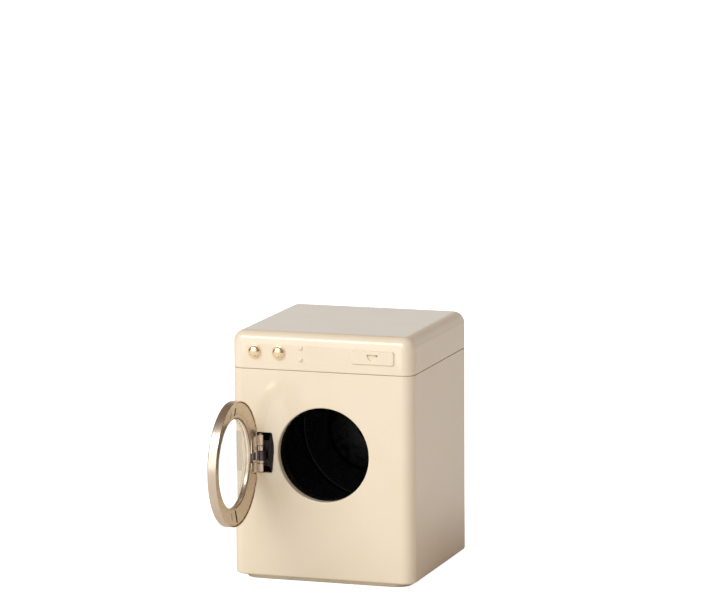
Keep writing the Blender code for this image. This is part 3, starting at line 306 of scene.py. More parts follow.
class Recipe:
    """A material in the making: its wiring, its shader and the place that its patterns read."""

    def __init__(self, name: str, turning: Matrix | None = None) -> None:
        """Start a material.

        Args:
            name: The material's name.
            turning: For a turned piece, the transform that set it in place.
        """
        self.material = bpy.data.materials.new(name)
        self.material.use_nodes = True
        self.wiring = Wiring(self.material.node_tree)
        self.shader = self.material.node_tree.nodes["Principled BSDF"]
        place = self.wiring.add("ShaderNodeTexCoord").outputs["Object"]
        if turning is not None:
            centre = {"Location": turning.to_translation(), "Rotation": turning.to_euler()}
            centred = self.wiring.add("ShaderNodeMapping", {"Vector": place, **centre}, vector_type="TEXTURE")
            place = centred.outputs[0]
        self.place = place

    def effect(
        self, label: str, group: bpy.types.NodeTree, **sockets: object
    ) -> bpy.types.bpy_prop_collection:
        """Place a shared effect on the material's own place.

        Args:
            label: What the effect stands for here.
            group: The effect.
            sockets: Its other inputs, named in small letters with _ for each space.

        Returns:
            Its outputs.
        """
        node = self.wiring.add("ShaderNodeGroup", node_tree=group, label=label)
        for name, value in {"place": self.place, **sockets}.items():
            self.wiring.feed(node.inputs[name.replace("_", " ").capitalize()], value)
        return node.outputs

    def set(self, **sockets: object) -> None:
        """Give the shader's inputs, named with _ for each space, their values."""
        for name, value in sockets.items():
            self.wiring.feed(self.shader.inputs[name.replace("_", " ")], value)

    def rough(self, mask: object, low: float, high: float) -> None:
        """Let a mask carry the roughness from a low value to a high one."""
        self.wiring.feed(self.shader.inputs["Roughness"], self.wiring.spread(mask, 0.0, 1.0, low, high))

    def raise_by(self, height: object, depth: float) -> None:
        """Raise the surface by a height pattern that is so deep, in metres."""
        bump = self.wiring.add("ShaderNodeBump", {"Height": height, "Strength": 1.0, "Distance": depth})
        self.wiring.feed(self.shader.inputs["Normal"], bump.outputs[0])


@dataclass(frozen=True)
class Enamel:
    """Gloss enamel, sprayed and baked on pressed tin."""

    name: str = "Cream enamel"
    colour: Colour = (0.818, 0.716, 0.556)
    pooled: Colour = (0.805, 0.697, 0.520)
    thin: Colour = (0.735, 0.615, 0.435)
    dust: Colour = (0.860, 0.790, 0.660)
    gloss: float = 0.09
    dull: float = 0.15

    def made(self, effects: Effects) -> bpy.types.Material:
        """Mix the finish.

        Args:
            effects: The shared effects.

        Returns:
            The material.
        """
        recipe = Recipe(self.name)
        w = recipe.wiring
        drift = recipe.effect("Pooled tone", effects.tone_drift, scale=38.0)["Mask"]
        wear = recipe.effect("Thin edges", effects.edge_wear, reach=0.0004, scale=900.0)
        dust = recipe.effect("Dust", effects.settled_dust, scale=2600.0)
        tone = w.mixed(drift, self.colour, self.pooled)
        tone = w.mixed(w.maths("MULTIPLY", wear["Mask"], 0.45), tone, self.thin)
        specks = w.maths("MULTIPLY", dust["Mask"], 0.20)
        recipe.set(Base_Color=w.mixed(specks, tone, self.dust))
        recipe.rough(w.maths("MAXIMUM", w.maths("MULTIPLY", drift, 0.7), specks), self.gloss, self.dull)
        ripple = recipe.effect(
            "Orange peel", effects.coat_ripple, fine_scale=520.0, wide_scale=42.0, wide_share=9.0
        )
        recipe.raise_by(ripple["Height"], 3.0e-6)
        recipe.set(IOR=1.52, Coat_Weight=0.3, Coat_Roughness=0.05, Coat_IOR=1.5)
        return recipe.material


@dataclass(frozen=True)
class Metal:
    """A metal with a plated, anodised, polished or blackened surface."""

    name: str
    colour: Colour
    shade: Colour
    worn: Colour
    smooth: float
    rough: float
    lines: float = 5200.0
    grain_depth: float = 1.2e-6
    wear_share: float = 0.5

    def made(self, effects: Effects, turning: Matrix | None = None) -> bpy.types.Material:
        """Mix the finish.

        Args:
            effects: The shared effects.
            turning: The transform that set a turned piece in place; without it the grain is random.

        Returns:
            The material.
        """
        recipe = Recipe(self.name, turning)
        w = recipe.wiring
        if turning is None:
            grain = recipe.effect("Rolled grain", effects.fine_grain, scale=self.lines)
        else:
            grain = recipe.effect("Turning rings", effects.turned_grain, lines=self.lines)
        drift = recipe.effect("Handling haze", effects.tone_drift, scale=160.0)["Mask"]
        wear = recipe.effect("Rubbed edges", effects.edge_wear, reach=0.00025, scale=1400.0)
        streak = w.maths("MULTIPLY", grain["Streak"], 0.35)
        tone = w.mixed(streak, self.colour, self.shade)
        rubbed = w.maths("MULTIPLY", wear["Mask"], self.wear_share)
        recipe.set(Base_Color=w.mixed(rubbed, tone, self.worn), Metallic=1.0)
        haze = w.maths("MULTIPLY_ADD", grain["Streak"], 0.4, w.maths("MULTIPLY", drift, 0.6))
        recipe.rough(haze, self.smooth, self.rough)
        recipe.raise_by(grain["Height"], self.grain_depth)
        return recipe.material


@dataclass(frozen=True)
class Plastic:
    """Moulded opaque plastic."""

    name: str = "Black plastic"
    colour: Colour = (0.0050, 0.0048, 0.0052)
    grey: Colour = (0.0085, 0.0080, 0.0080)
    dust: Colour = (0.070, 0.062, 0.055)
    smooth: float = 0.22
    rough: float = 0.42
    shine: float = 0.25

    def made(self, effects: Effects) -> bpy.types.Material:
        """Mix the finish.

        Args:
            effects: The shared effects.

        Returns:
            The material.
        """
        recipe = Recipe(self.name)
        w = recipe.wiring
        grain = recipe.effect("Moulded grain", effects.fine_grain, scale=3800.0)
        dust = recipe.effect("Dust", effects.settled_dust, scale=2200.0)
        wear = recipe.effect("Rubbed edges", effects.edge_wear, reach=0.0003, scale=1100.0)
        tone = w.mixed(grain["Streak"], self.colour, self.grey)
        tone = w.mixed(w.maths("MULTIPLY", wear["Mask"], 0.25), tone, self.dust)
        specks = w.maths("MULTIPLY", dust["Mask"], 0.30)
        recipe.set(Base_Color=w.mixed(specks, tone, self.dust))
        recipe.rough(w.maths("MAXIMUM", grain["Streak"], specks), self.smooth, self.rough)
        recipe.raise_by(grain["Height"], 4.0e-6)
        recipe.set(Specular_IOR_Level=self.shine)
        return recipe.material


@dataclass(frozen=True)
class ClearSheet:
    """Clear moulded plastic, with the faint haze and hairlines of a toy's window."""

    name: str = "Clear plastic"
    colour: Colour = (0.985, 0.990, 0.985)
    hazed: Colour = (0.955, 0.960, 0.950)

    def made(self, effects: Effects) -> bpy.types.Material:
        """Mix the finish.

        Args:
            effects: The shared effects.

        Returns:
            The material.
        """
        recipe = Recipe(self.name)
        w = recipe.wiring
        haze = recipe.effect("Haze", effects.tone_drift, scale=120.0)["Mask"]
        grain = recipe.effect("Hairlines", effects.fine_grain, scale=900.0)
        recipe.set(Base_Color=w.mixed(haze, self.colour, self.hazed))
        recipe.set(Metallic=0.0, Transmission_Weight=1.0, IOR=1.49, Specular_IOR_Level=0.10)
        recipe.rough(haze, 0.01, 0.035)
        recipe.raise_by(grain["Height"], 1.0e-6)
        return recipe.material


class Finishes:
    """The object's finishes, mixed on demand and kept for the next piece."""

    CHAMPAGNE = Metal(
        "Champagne satin metal", (0.700, 0.590, 0.465), (0.655, 0.545, 0.425), (0.800, 0.715, 0.605),
        0.20, 0.30, grain_depth=0.7e-6,
    )
    GOLD = Metal(
        "Polished pale gold", (0.900, 0.730, 0.500), (0.830, 0.630, 0.390), (0.930, 0.800, 0.600), 0.07, 0.17,
        lines=3400.0, grain_depth=2.5e-6,
    )
    BRIGHT = Metal(
        "Bright steel", (0.520, 0.505, 0.495), (0.400, 0.385, 0.375), (0.700, 0.690, 0.680), 0.22, 0.38,
        lines=6400.0, grain_depth=1.5e-6,
    )
    DARK = Metal(
        "Blackened steel", (0.150, 0.130, 0.140), (0.090, 0.080, 0.085), (0.420, 0.400, 0.390), 0.30, 0.48,
        lines=2600.0, grain_depth=3.0e-6,
    )

    def __init__(self) -> None:
        """Build the shared effects and the plain finishes."""
        self.effects = Effects()
        self.cream = Enamel().made(self.effects)
        self.black = Plastic().made(self.effects)
        self.clear = ClearSheet().made(self.effects)
        self.kept: dict[tuple, bpy.types.Material] = {}

    def metal(self, metal: Metal, turning: Matrix | None = None) -> bpy.types.Material:
        """Give a metal's material, one for each axis that it is turned about.

        Args:
            metal: The finish.
            turning: The transform that set a turned piece in place.

        Returns:
            The material.
        """
        places = tuple(round(value, 5) for row in turning for value in row) if turning else ()
        key = (metal.name, places)
        if key not in self.kept:
            self.kept[key] = metal.made(self.effects, turning)
        return self.kept[key]

    def of(self, slot: Slot, turning: Matrix | None = None) -> bpy.types.Material:
        """Give the material of one of the record's slots.

        Args:
            slot: The slot.
            turning: For a turned piece, the transform that set it in place.

        Returns:
            The material.
        """
        plain = {Slot.CREAM: self.cream, Slot.BLACK: self.black, Slot.CLEAR: self.clear}
        metals = {
            Slot.CHAMPAGNE: self.CHAMPAGNE,
            Slot.GOLD: self.GOLD,
            Slot.BRIGHT: self.BRIGHT,
            Slot.DARK: self.DARK,
        }
        return plain[slot] if slot in plain else self.metal(metals[slot], turning)


def soft_step(width: float, rise: float, count: int) -> Iterator[tuple[float, float]]:
    """Work out an S-shaped step pressed in a sheet.

    Args:
        width: How wide the step is.
        rise: How far out it goes.
        count: Faces across it.

    Yields:
        Each face's (inward, outward) move.
    """
    for index in range(count):
        before, after = (0.5 - 0.5 * math.cos(math.pi * (index + n) / count) for n in (0, 1))
        yield width / count, rise * (after - before)


def bend_back(radius: float, count: int) -> Iterator[tuple[float, float]]:
    """Work out a sheet's bend back round a quarter of a circle.

    Args:
        radius: The bend's radius.
        count: Faces round it.

    Yields:
        Each face's (inward, outward) move.
    """
    for index in range(count):
        start, end = (QUARTER_TURN * (index + n) / count for n in (0, 1))
        yield radius * (math.sin(end) - math.sin(start)), radius * (math.cos(end) - math.cos(start))


class Bench:
    """A mesh on the bench, with the operators that shape it."""

    def __init__(self) -> None:
        """Start with nothing on the bench."""
        self.bm = bmesh.new()

    def block(self, low: Point, high: Point) -> None:
        """Lay out a block, ready to be shaped.

        Args:
            low: Its lowest corner.
            high: Its highest corner.
        """
        low, high = Vector(low), Vector(high)
        size = Matrix.Diagonal((*(high - low), 1.0))
        bmesh.ops.create_cube(self.bm, size=1.0, matrix=Matrix.Translation((low + high) / 2) @ size)

    def disc(self, centre: Point, radius: float, steps: int) -> bmesh.types.BMFace:
        """Lay a round face across Y.

        Args:
            centre: Its middle.
            radius: Its radius.
            steps: Edges round it.

        Returns:
            The face.
        """
        made = bmesh.ops.create_circle(
            self.bm, cap_ends=True, segments=steps, radius=radius, matrix=Facing.FRONT.at(centre)
        )
        return made["verts"][0].link_faces[0]

    def patch(self, corners: Sequence[Corner], place_y: float, steps: int) -> bmesh.types.BMFace:
        """Lay a flat face in a plane across Y.

        Args:
            corners: (x, z, rounding) of each corner.
            place_y: Where the plane lies.
            steps: Faces in each rounded corner.

        Returns:
            The face.
        """
        verts = [self.bm.verts.new((x, place_y, z)) for x, z, _ in corners]
        face = self.bm.faces.new(verts)
        for vert, (_, _, rounding) in zip(verts, corners):
            if rounding:
                face = self.round_corners([vert], rounding, steps)[0].link_faces[0]
        return face

    def field(
        self, low: tuple[float, float], high: tuple[float, float], rounding: float, place_y: float, steps: int
    ) -> bmesh.types.BMFace:
        """Lay a flat rectangle in a plane across Y.

        Args:
            low: (x, z) of its lowest corner.
            high: (x, z) of its highest corner.
            rounding: The rounding of its corners.
            place_y: Where the plane lies.
            steps: Faces in each rounded corner.

        Returns:
            The face.
        """
        (left, bottom), (right, top) = low, high
        corners = ((left, bottom), (right, bottom), (right, top), (left, top))
        return self.patch([(x, z, rounding) for x, z in corners], place_y, steps)

    def round_corners(
        self, verts: Sequence[bmesh.types.BMVert], radius: float, steps: int
    ) -> list[bmesh.types.BMVert]:
        """Round the corners of an outline.

        Args:
            verts: The corners.
            radius: The radius.
            steps: Edges in each.

        Returns:
            The new points.
        """
        made = bmesh.ops.bevel(
            self.bm, geom=list(verts), offset=radius, offset_type="OFFSET", segments=steps, profile=0.5,
            affect="VERTICES", material=-1,
        )
        return made["verts"]

    def round_edges(self, edges: Iterable[bmesh.types.BMEdge], radius: float, steps: int) -> None:
        """Round edges off.

        Args:
            edges: The edges.
            radius: The radius.
            steps: Faces across each.
        """
        bmesh.ops.bevel(
            self.bm, geom=list(edges), offset=radius, offset_type="OFFSET", segments=steps, profile=0.5,
            affect="EDGES", material=-1,
        )

    def edges_along(self, axis: Axis) -> list[bmesh.types.BMEdge]:
        """The straight edges that run along an axis."""
        runs = {edge: (edge.verts[0].co - edge.verts[1].co).normalized() for edge in self.bm.edges}
        return [edge for edge, run in runs.items() if abs(run[axis.value]) > 0.999]

    def edges_at(self, axis: Axis, place: float) -> list[bmesh.types.BMEdge]:
        """The edges that lie in the plane across an axis at a place."""
        return [e for e in self.bm.edges if all(abs(v.co[axis.value] - place) < TOUCHING for v in e.verts)]

    def face_at(self, axis: Axis, place: float) -> bmesh.types.BMFace:
        """The largest face that lies in the plane across an axis at a place."""
        flat = [f for f in self.bm.faces if all(abs(v.co[axis.value] - place) < TOUCHING for v in f.verts)]
        return max(flat, key=lambda face: face.calc_area())

    def let_in(self, host: bmesh.types.BMFace, features: Sequence[bmesh.types.BMFace]) -> None:
        """Make a flat face surround others that lie in its plane, all looking the same way.

        Args:
            host: The face, which is filled anew round the others.
            features: The faces that it surrounds.
        """
        host.normal_update()
        normal = host.normal.copy()
        edges = list(host.edges)
        for feature in features:
            feature.normal_update()
            if feature.normal.dot(normal) < 0:
                feature.normal_flip()
            edges.extend(feature.edges)
        bmesh.ops.delete(self.bm, geom=[host], context="FACES_ONLY")
        bmesh.ops.triangle_fill(self.bm, use_beauty=True, edges=edges, normal=normal)

    def press(self, face: bmesh.types.BMFace, moves: Iterable[tuple[float, float]]) -> None:
        """Draw a face inwards and out of its plane.

        Args:
            face: The face.
            moves: The (inward, outward) steps.
        """
        for inward, outward in moves:
            bmesh.ops.inset_region(
                self.bm, faces=[face], use_boundary=True, use_even_offset=True, thickness=inward,
                depth=outward,
            )

    def draw(self, face: bmesh.types.BMFace, move: Point) -> bmesh.types.BMFace:
        """Draw a face straight on.

        Args:
            face: The face.
            move: How far it goes.

        Returns:
            The face at the new end.
        """
        made = bmesh.ops.extrude_face_region(self.bm, geom=[face])["geom"]
        bmesh.ops.translate(self.bm, vec=move, verts=verts_of(made))
        bmesh.ops.delete(self.bm, geom=[face], context="FACES_ONLY")
        return next(item for item in made if isinstance(item, bmesh.types.BMFace))

    def open(self, *faces: bmesh.types.BMFace) -> None:
        """Take faces out, so that the surface is open there."""
        bmesh.ops.delete(self.bm, geom=list(faces), context="FACES")

    def turn(self, outline: Sequence[Corner], steps: int, closed: bool = False, rounding: int = 3) -> None:
        """Turn an outline round Z.

        Args:
            outline: (radius, height, rounding) of each corner.
            steps: Faces in the whole turn.
            closed: Whether the outline ends where it starts, as a ring's does.
            rounding: Faces in each rounded corner.
        """
        verts = [self.bm.verts.new((radius, 0.0, height)) for radius, height, _ in outline]
        pairs = list(zip(verts, verts[1:])) + ([(verts[-1], verts[0])] if closed else [])
        for pair in pairs:
            self.bm.edges.new(pair)
        for vert, (_, _, bend) in zip(verts, outline):
            if bend:
                self.round_corners([vert], bend, rounding)
        profile = list(self.bm.verts) + list(self.bm.edges)
        bmesh.ops.spin(
            self.bm, geom=profile, cent=(0.0, 0.0, 0.0), axis=(0.0, 0.0, 1.0), angle=FULL_TURN, steps=steps,
            use_merge=True,
        )

    def mesh(self, name: str, placing: Matrix | None = None, outward: Vector | None = None) -> bpy.types.Mesh:
        """Merge doubles, point the faces out and take the mesh off the bench.

        Args:
            name: The mesh's name.
            placing: A transform that sets it in place.
            outward: For an open shell, a direction in which its farthest face looks.

        Returns:
            The mesh.
        """
        bmesh.ops.remove_doubles(self.bm, verts=self.bm.verts, dist=TOUCHING)
        bmesh.ops.recalc_face_normals(self.bm, faces=self.bm.faces)
        if outward is not None:
            farthest = max(self.bm.faces, key=lambda face: face.calc_center_median().dot(outward))
            if farthest.normal.dot(outward) < 0:
                bmesh.ops.reverse_faces(self.bm, faces=self.bm.faces)
        if placing is not None:
            bmesh.ops.transform(self.bm, matrix=placing, verts=self.bm.verts)
        mesh = bpy.data.meshes.new(name)
        self.bm.to_mesh(mesh)
        self.bm.free()
        return mesh


def copied_mesh(node: str, name: str) -> bpy.types.Mesh:
    """Copy a CAD node's mesh, with its points merged and its flat faces whole again.

    Args:
        node: The node.
        name: The copy's name.

    Returns:
        The copy.
    """
    bm = bmesh.new()
    bm.from_mesh(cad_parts[node].data)
    bmesh.ops.remove_doubles(bm, verts=bm.verts, dist=TOUCHING)
    bmesh.ops.dissolve_limit(bm, angle_limit=math.radians(0.5), verts=bm.verts, edges=bm.edges)
    mesh = bpy.data.meshes.new(name)
    bm.to_mesh(mesh)
    bm.free()
    return mesh


@dataclass
class SubAssembly:
    """What every sub-assembly shares: the finishes and the way that a piece takes its place."""

    finishes: Finishes

    def fit(
        self, mesh: bpy.types.Mesh, body: Body, slot: Slot, stands_for: Sequence[str], thickness: float = 0.0,
        softened: float = 0.0, turning: Matrix | None = None,
    ) -> bpy.types.Object:
        """Make a finished piece of a mesh.

        Args:
            mesh: The piece's mesh, in place, which also names it.
            body: The body that it rides on.
            slot: The record's slot for its finish.
            stands_for: The CAD nodes that it replaces.
            thickness: The thickness that an open sheet gets on its inner side.
            softened: How far its sharp edges are eased.
            turning: For a turned piece, the transform that set it in place.

        Returns:
            The piece.
        """
        piece = on_set(mesh.name, mesh)
        mesh.materials.append(self.finishes.of(slot, turning))
        mesh.shade_smooth()
        if thickness:
            wall = piece.modifiers.new("Sheet", "SOLIDIFY")
            wall.thickness = thickness
            wall.offset = -1.0
            wall.use_even_offset = True
        if softened:
            ease = piece.modifiers.new("Eased edges", "BEVEL")
            ease.width = softened
            ease.segments = 2
            ease.limit_method = "ANGLE"
            ease.angle_limit = SHARP
            ease.use_clamp_overlap = False
            ease.miter_outer = "MITER_ARC"
        even = piece.modifiers.new("Even shading", "WEIGHTED_NORMAL")
        even.keep_sharp = True
        even.weight = 60
        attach(piece, body.value)
        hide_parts(*stands_for)
        log.info("%s rides on %s, %d faces", piece.name, body.value, len(mesh.polygons))
        return piece

    def turned(
        self, name: str, outline: Sequence[Corner], steps: int, placing: Matrix, body: Body, slot: Slot,
        stands_for: Sequence[str], closed: bool = False,
    ) -> bpy.types.Object:
        """Turn a piece from its outline and set it in place.

        Args:
            name: The piece's name.
            outline: (radius, height, rounding) of each corner.
            steps: Faces in the whole turn.
            placing: The transform that sets it in place.
            body: The body that it rides on.
            slot: The record's slot for its finish.
            stands_for: The CAD nodes that it replaces.
            closed: Whether the outline ends where it starts.

        Returns:
            The piece.
        """
        bench = Bench()
        bench.turn(outline, steps, closed)
        mesh = bench.mesh(name, placing)
        return self.fit(mesh, body, slot, stands_for, turning=placing)

    def carry_over(self, slot: Slot, *nodes: str) -> None:
        """Give CAD nodes whose shape is right their finish.

        Args:
            slot: The record's slot.
            nodes: The nodes.
        """
        for node in nodes:
            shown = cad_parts[node]
            shown.data.materials.clear()
            shown.data.materials.append(self.finishes.of(slot))
            log.info("%s stays as packed, in %s", node, slot.value)


@dataclass
class Cabinet(SubAssembly):
    """The bent wrap, the drawn cap with its pressed panel, and the recessed foot."""

    width: float = 0.0976
    depth: float = 0.0957
    height: float = 0.130
    corner: float = 0.0063
    corner_steps: int = 14
    sheet: float = 0.0005
    wrap_bottom: float = 0.0025
    wrap_top: float = 0.1105
    bottom_radius: float = 0.0012
    bottom_lip: float = 0.0009
    neck_inset: float = 0.0008
    neck_top: float = 0.1154
    cap_bottom: float = 0.1109
    cap_fillet: float = 0.0061
    porthole: Point = MIDDLE
    porthole_radius: float = 0.0244
    porthole_bend: float = 0.0008
    flange: float = 0.0040
    slot_bend: float = 0.00045
    slot_lip: float = 0.0005
    slot_outline: tuple[Corner, ...] = (
        (-0.03528, 0.05680, 0.0007),
        (-0.0270, 0.05680, 0.0007),
        (-0.0257, 0.0699, 0.0032),
        (-0.0270, 0.07765, 0.0007),
        (-0.03528, 0.07765, 0.0007),
    )
    rear_hole_radius: float = 0.00472
    seam_low: tuple[float, float] = (0.0222, 0.0055)
    seam_high: tuple[float, float] = (0.0298, 0.1074)
    seam_step: float = 0.0006
    seat_radius: float = 0.0043
    seat_run: float = 0.0005
    seat_rise: float = 0.00024
    stem_hole: float = 0.0014
    bump_x: float = -0.0109
    bump_heights: tuple[float, float] = (0.12245, 0.11645)
    bump_radius: float = 0.00135
    bump_rise: float = 0.00070
    bump_shares: tuple[tuple[float, float], ...] = (
        (0.06, 0.09), (0.08, 0.21), (0.12, 0.26), (0.18, 0.22), (0.22, 0.14), (0.20, 0.06), (0.08, 0.02)
    )
    panel_low: tuple[float, float] = (0.0160, 0.1155)
    panel_high: tuple[float, float] = (0.0394, 0.1231)
    panel_corner: float = 0.0015
    panel_run: float = 0.0006
    panel_rise: float = 0.0007
    dent_x: float = 0.0277
    dent_top: float = 0.1211
    dent_half: float = 0.0031
    dent_drop: float = 0.0037
    dent_corner: float = 0.0005
    dent_run: float = 0.0005
    dent_depth: float = 0.0010
    foot_x: float = 0.0454
    foot_y: float = 0.04445
    foot_slope: float = 0.0008
    foot_corner: float = 0.0090
    foot_toe: float = 0.0005
    shelf: float = 0.0033
    shelf_x: float = 0.0472
    shelf_y: float = 0.04625
    eased: float = 0.00009
    foot_eased: float = 0.0001

    @property
    def front(self) -> float:
        """Where the front's outer face lies."""
        return -self.depth / 2

    @property
    def back(self) -> float:
        """Where the back's outer face lies."""
        return self.depth / 2

    def build(self) -> None:
        """Build the three pressings."""
        self.build_wrap()
        self.build_cap()
        self.build_foot()

    def walls(self, low: float, high: float) -> Bench:
        """Lay out the cabinet's plan with its upright corners rounded.

        Args:
            low: The height that it starts from.
            high: The height that it reaches.

        Returns:
            The bench that it lies on.
        """
        bench = Bench()
        bench.block((-self.width / 2, self.front, low), (self.width / 2, self.back, high))
        bench.round_edges(bench.edges_along(Axis.Z), self.corner, self.corner_steps)
        return bench

    def slot_corners(self) -> list[Corner]:
        """Widen the hinge slot's outline by the bend round it.

        Returns:
            Its outline at the sheet's outer face.
        """
        grow = self.slot_bend
        left, low = (min(corner[side] for corner in self.slot_outline) for side in (0, 1))
        high = max(corner[1] for corner in self.slot_outline)
        grown = []
        for x, z, rounding in self.slot_outline:
            blunt = low < z < high
            place_x = x - grow if x == left else x + grow
            place_z = z if blunt else z + math.copysign(grow, z - (low + high) / 2)
            grown.append((place_x, place_z, rounding if blunt else rounding + grow))
        return grown

    def build_wrap(self) -> None:
        """The sheet bent round front, sides and back, its porthole, hinge slot and neck for the cap."""
        bench = self.walls(self.wrap_bottom, self.wrap_top)
        bench.round_edges(bench.edges_at(Axis.Z, self.wrap_bottom), self.bottom_radius, 5)
        underside = bench.face_at(Axis.Z, self.wrap_bottom)
        bench.press(underside, [(self.bottom_lip, 0.0)])
        bench.open(underside)
        shoulder = bench.face_at(Axis.Z, self.wrap_top)
        bench.press(shoulder, [(self.neck_inset, 0.0)])
        bench.open(bench.draw(shoulder, (0.0, 0.0, self.neck_top - self.wrap_top)))

        mouth_place = (self.porthole[0], self.front, self.porthole[2])
        mouth = bench.disc(mouth_place, self.porthole_radius + self.porthole_bend, 128)
        slot = bench.patch(self.slot_corners(), self.front, 6)
        bench.let_in(bench.face_at(Axis.Y, self.front), [mouth, slot])
        bench.press(mouth, bend_back(self.porthole_bend, 6))
        bench.open(bench.draw(mouth, (0.0, self.flange - self.porthole_bend, 0.0)))
        bench.press(slot, bend_back(self.slot_bend, 4))
        bench.open(bench.draw(slot, (0.0, self.slot_lip, 0.0)))

        rear = bench.disc((self.porthole[0], self.back, self.porthole[2]), self.rear_hole_radius, 48)
        seam = bench.field(self.seam_low, self.seam_high, 0.0, self.back, 2)
        bench.let_in(bench.face_at(Axis.Y, self.back), [rear, seam])
        bench.press(seam, soft_step(self.seam_step, self.seam_step, 6))
        bench.open(rear)
        mesh = bench.mesh("wrap_sheet", outward=Vector((0.0, -1.0, 0.0)))
        self.fit(mesh, Body.CABINET, Slot.CREAM, ["cabinet_wrap"], self.sheet, self.eased)

    def build_cap(self) -> None:
        """The drawn cap, with its soft crown edge, the pressed drawer panel, two bumps and two dial holes."""
        bench = self.walls(self.cap_bottom, self.height)
        bench.round_edges(bench.edges_at(Axis.Z, self.height), self.cap_fillet, 12)
        bench.open(bench.face_at(Axis.Z, self.cap_bottom))
        front = self.front
        seats = [bench.disc((x, front, DIAL_HEIGHT), self.seat_radius, 48) for x in DIALS]
        bumps = [bench.disc((self.bump_x, front, z), self.bump_radius, 32) for z in self.bump_heights]
        panel = bench.field(self.panel_low, self.panel_high, self.panel_corner, front, 6)
        bench.let_in(bench.face_at(Axis.Y, front), [*seats, *bumps, panel])
        for seat, x in zip(seats, DIALS):
            bench.press(seat, soft_step(self.seat_run, self.seat_rise, 5))
            hole = bench.disc((x, front - self.seat_rise, DIAL_HEIGHT), self.stem_hole, 32)
            bench.let_in(seat, [hole])
            bench.open(hole)
        for bump in bumps:
            moves = [(self.bump_radius * inward, self.bump_rise * out) for inward, out in self.bump_shares]
            bench.press(bump, moves)
        bench.press(panel, soft_step(self.panel_run, self.panel_rise, 7))
        dent = self.lay_dent(bench)
        bench.let_in(panel, [dent])
        bench.press(dent, soft_step(self.dent_run, -self.dent_depth, 6))
        mesh = bench.mesh("cap_sheet", outward=Vector((0.0, 0.0, 1.0)))
        self.fit(mesh, Body.CABINET, Slot.CREAM, ["top_cap"], self.sheet, self.eased)

    def lay_dent(self, bench: Bench) -> bmesh.types.BMFace:
        """Lay the half-moon finger dent on the drawer panel, straight above and round below.

        Args:
            bench: The bench that the cap lies on.

        Returns:
            The dent's face.
        """
        middle = Vector((self.dent_x, self.front - self.panel_rise, self.dent_top))
        face = bench.disc(middle, self.dent_half, 48)
        cut = bmesh.ops.bisect_plane(
            bench.bm, geom=[face, *face.edges, *face.verts], plane_co=middle, plane_no=(0.0, 0.0, 1.0),
            clear_outer=True,
        )
        verts = verts_of(cut["geom"])
        bmesh.ops.remove_doubles(bench.bm, verts=verts, dist=TOUCHING)
        verts = [vert for vert in verts if vert.is_valid]
        stretch = Matrix.Diagonal((1.0, 1.0, self.dent_drop / self.dent_half, 1.0))
        centre = Matrix.Translation(middle)
        bmesh.ops.transform(bench.bm, matrix=centre @ stretch @ centre.inverted(), verts=verts)
        ends = [vert for vert in verts if abs(vert.co.z - self.dent_top) < TOUCHING]
        return bench.round_corners(ends, self.dent_corner, 4)[0].link_faces[0]

    def build_foot(self) -> None:
        """The recessed foot under the wrap, with sloped sides, a soft toe and the shelf that carries it."""
        bench = Bench()
        bench.block((-self.foot_x, -self.foot_y, 0.0), (self.foot_x, self.foot_y, self.shelf))
        bench.round_edges(bench.edges_along(Axis.Z), self.foot_corner, 14)
        low = [vert for vert in bench.bm.verts if vert.co.z < TOUCHING]
        narrow = ((half - self.foot_slope) / half for half in (self.foot_x, self.foot_y))
        bmesh.ops.transform(bench.bm, matrix=Matrix.Diagonal((*narrow, 1.0, 1.0)), verts=low)
        bench.round_edges(bench.edges_at(Axis.Z, 0.0), self.foot_toe, 4)
        top = bench.face_at(Axis.Z, self.shelf)
        rim = list(top.edges)
        bench.open(top)
        made = bmesh.ops.extrude_edge_only(bench.bm, edges=[edge for edge in rim if edge.is_valid])["geom"]
        spread = Matrix.Diagonal((self.shelf_x / self.foot_x, self.shelf_y / self.foot_y, 1.0, 1.0))
        bmesh.ops.transform(bench.bm, matrix=spread, verts=verts_of(made))
        mesh = bench.mesh("foot_pan", outward=Vector((0.0, 0.0, -1.0)))
        self.fit(mesh, Body.CABINET, Slot.CREAM, ["base_pan"], self.sheet, self.foot_eased)


@dataclass
class Porthole(SubAssembly):
    """The black moulding behind the front: a collar round the porthole and a pocket behind the hinge slot."""

    centre: Point = MIDDLE
    start: float = -0.04705
    flange: float = 0.03025
    flange_end: float = -0.04555
    seat: float = 0.0252
    seat_end: float = -0.04355
    inner: float = 0.0244
    outer: float = 0.0270
    end: float = -0.03725
    pocket_low: Point = (-0.03730, -0.04655, 0.05480)
    pocket_high: Point = (-0.02380, -0.03975, 0.07965)
    pocket_corner: float = 0.0019
    pocket_wall: float = 0.0011

    def build(self) -> None:
        """Build the collar and the pocket."""
        placing = Facing.BACK.at(self.centre)
        self.turned(
            "porthole_collar",
            [
                (self.seat, self.start, 0.0), (self.flange, self.start, 0.0003),
                (self.flange, self.flange_end, 0.0003), (self.outer, self.flange_end, 0.0005),
                (self.outer, self.end, 0.0006), (self.inner, self.end, 0.0006),
                (self.inner, self.seat_end, 0.0), (self.seat, self.seat_end, 0.0),
            ],
            128, placing, Body.CABINET, Slot.BLACK, ["front_moulding"], closed=True,
        )
        bench = Bench()
        bench.block(self.pocket_low, self.pocket_high)
        bench.open(bench.face_at(Axis.Y, self.pocket_low[1]))
        bench.round_edges(bench.edges_along(Axis.Y), self.pocket_corner, 5)
        mesh = bench.mesh("hinge_pocket", outward=Vector((0.0, 1.0, 0.0)))
        self.fit(mesh, Body.CABINET, Slot.BLACK, ["front_moulding"], self.pocket_wall)


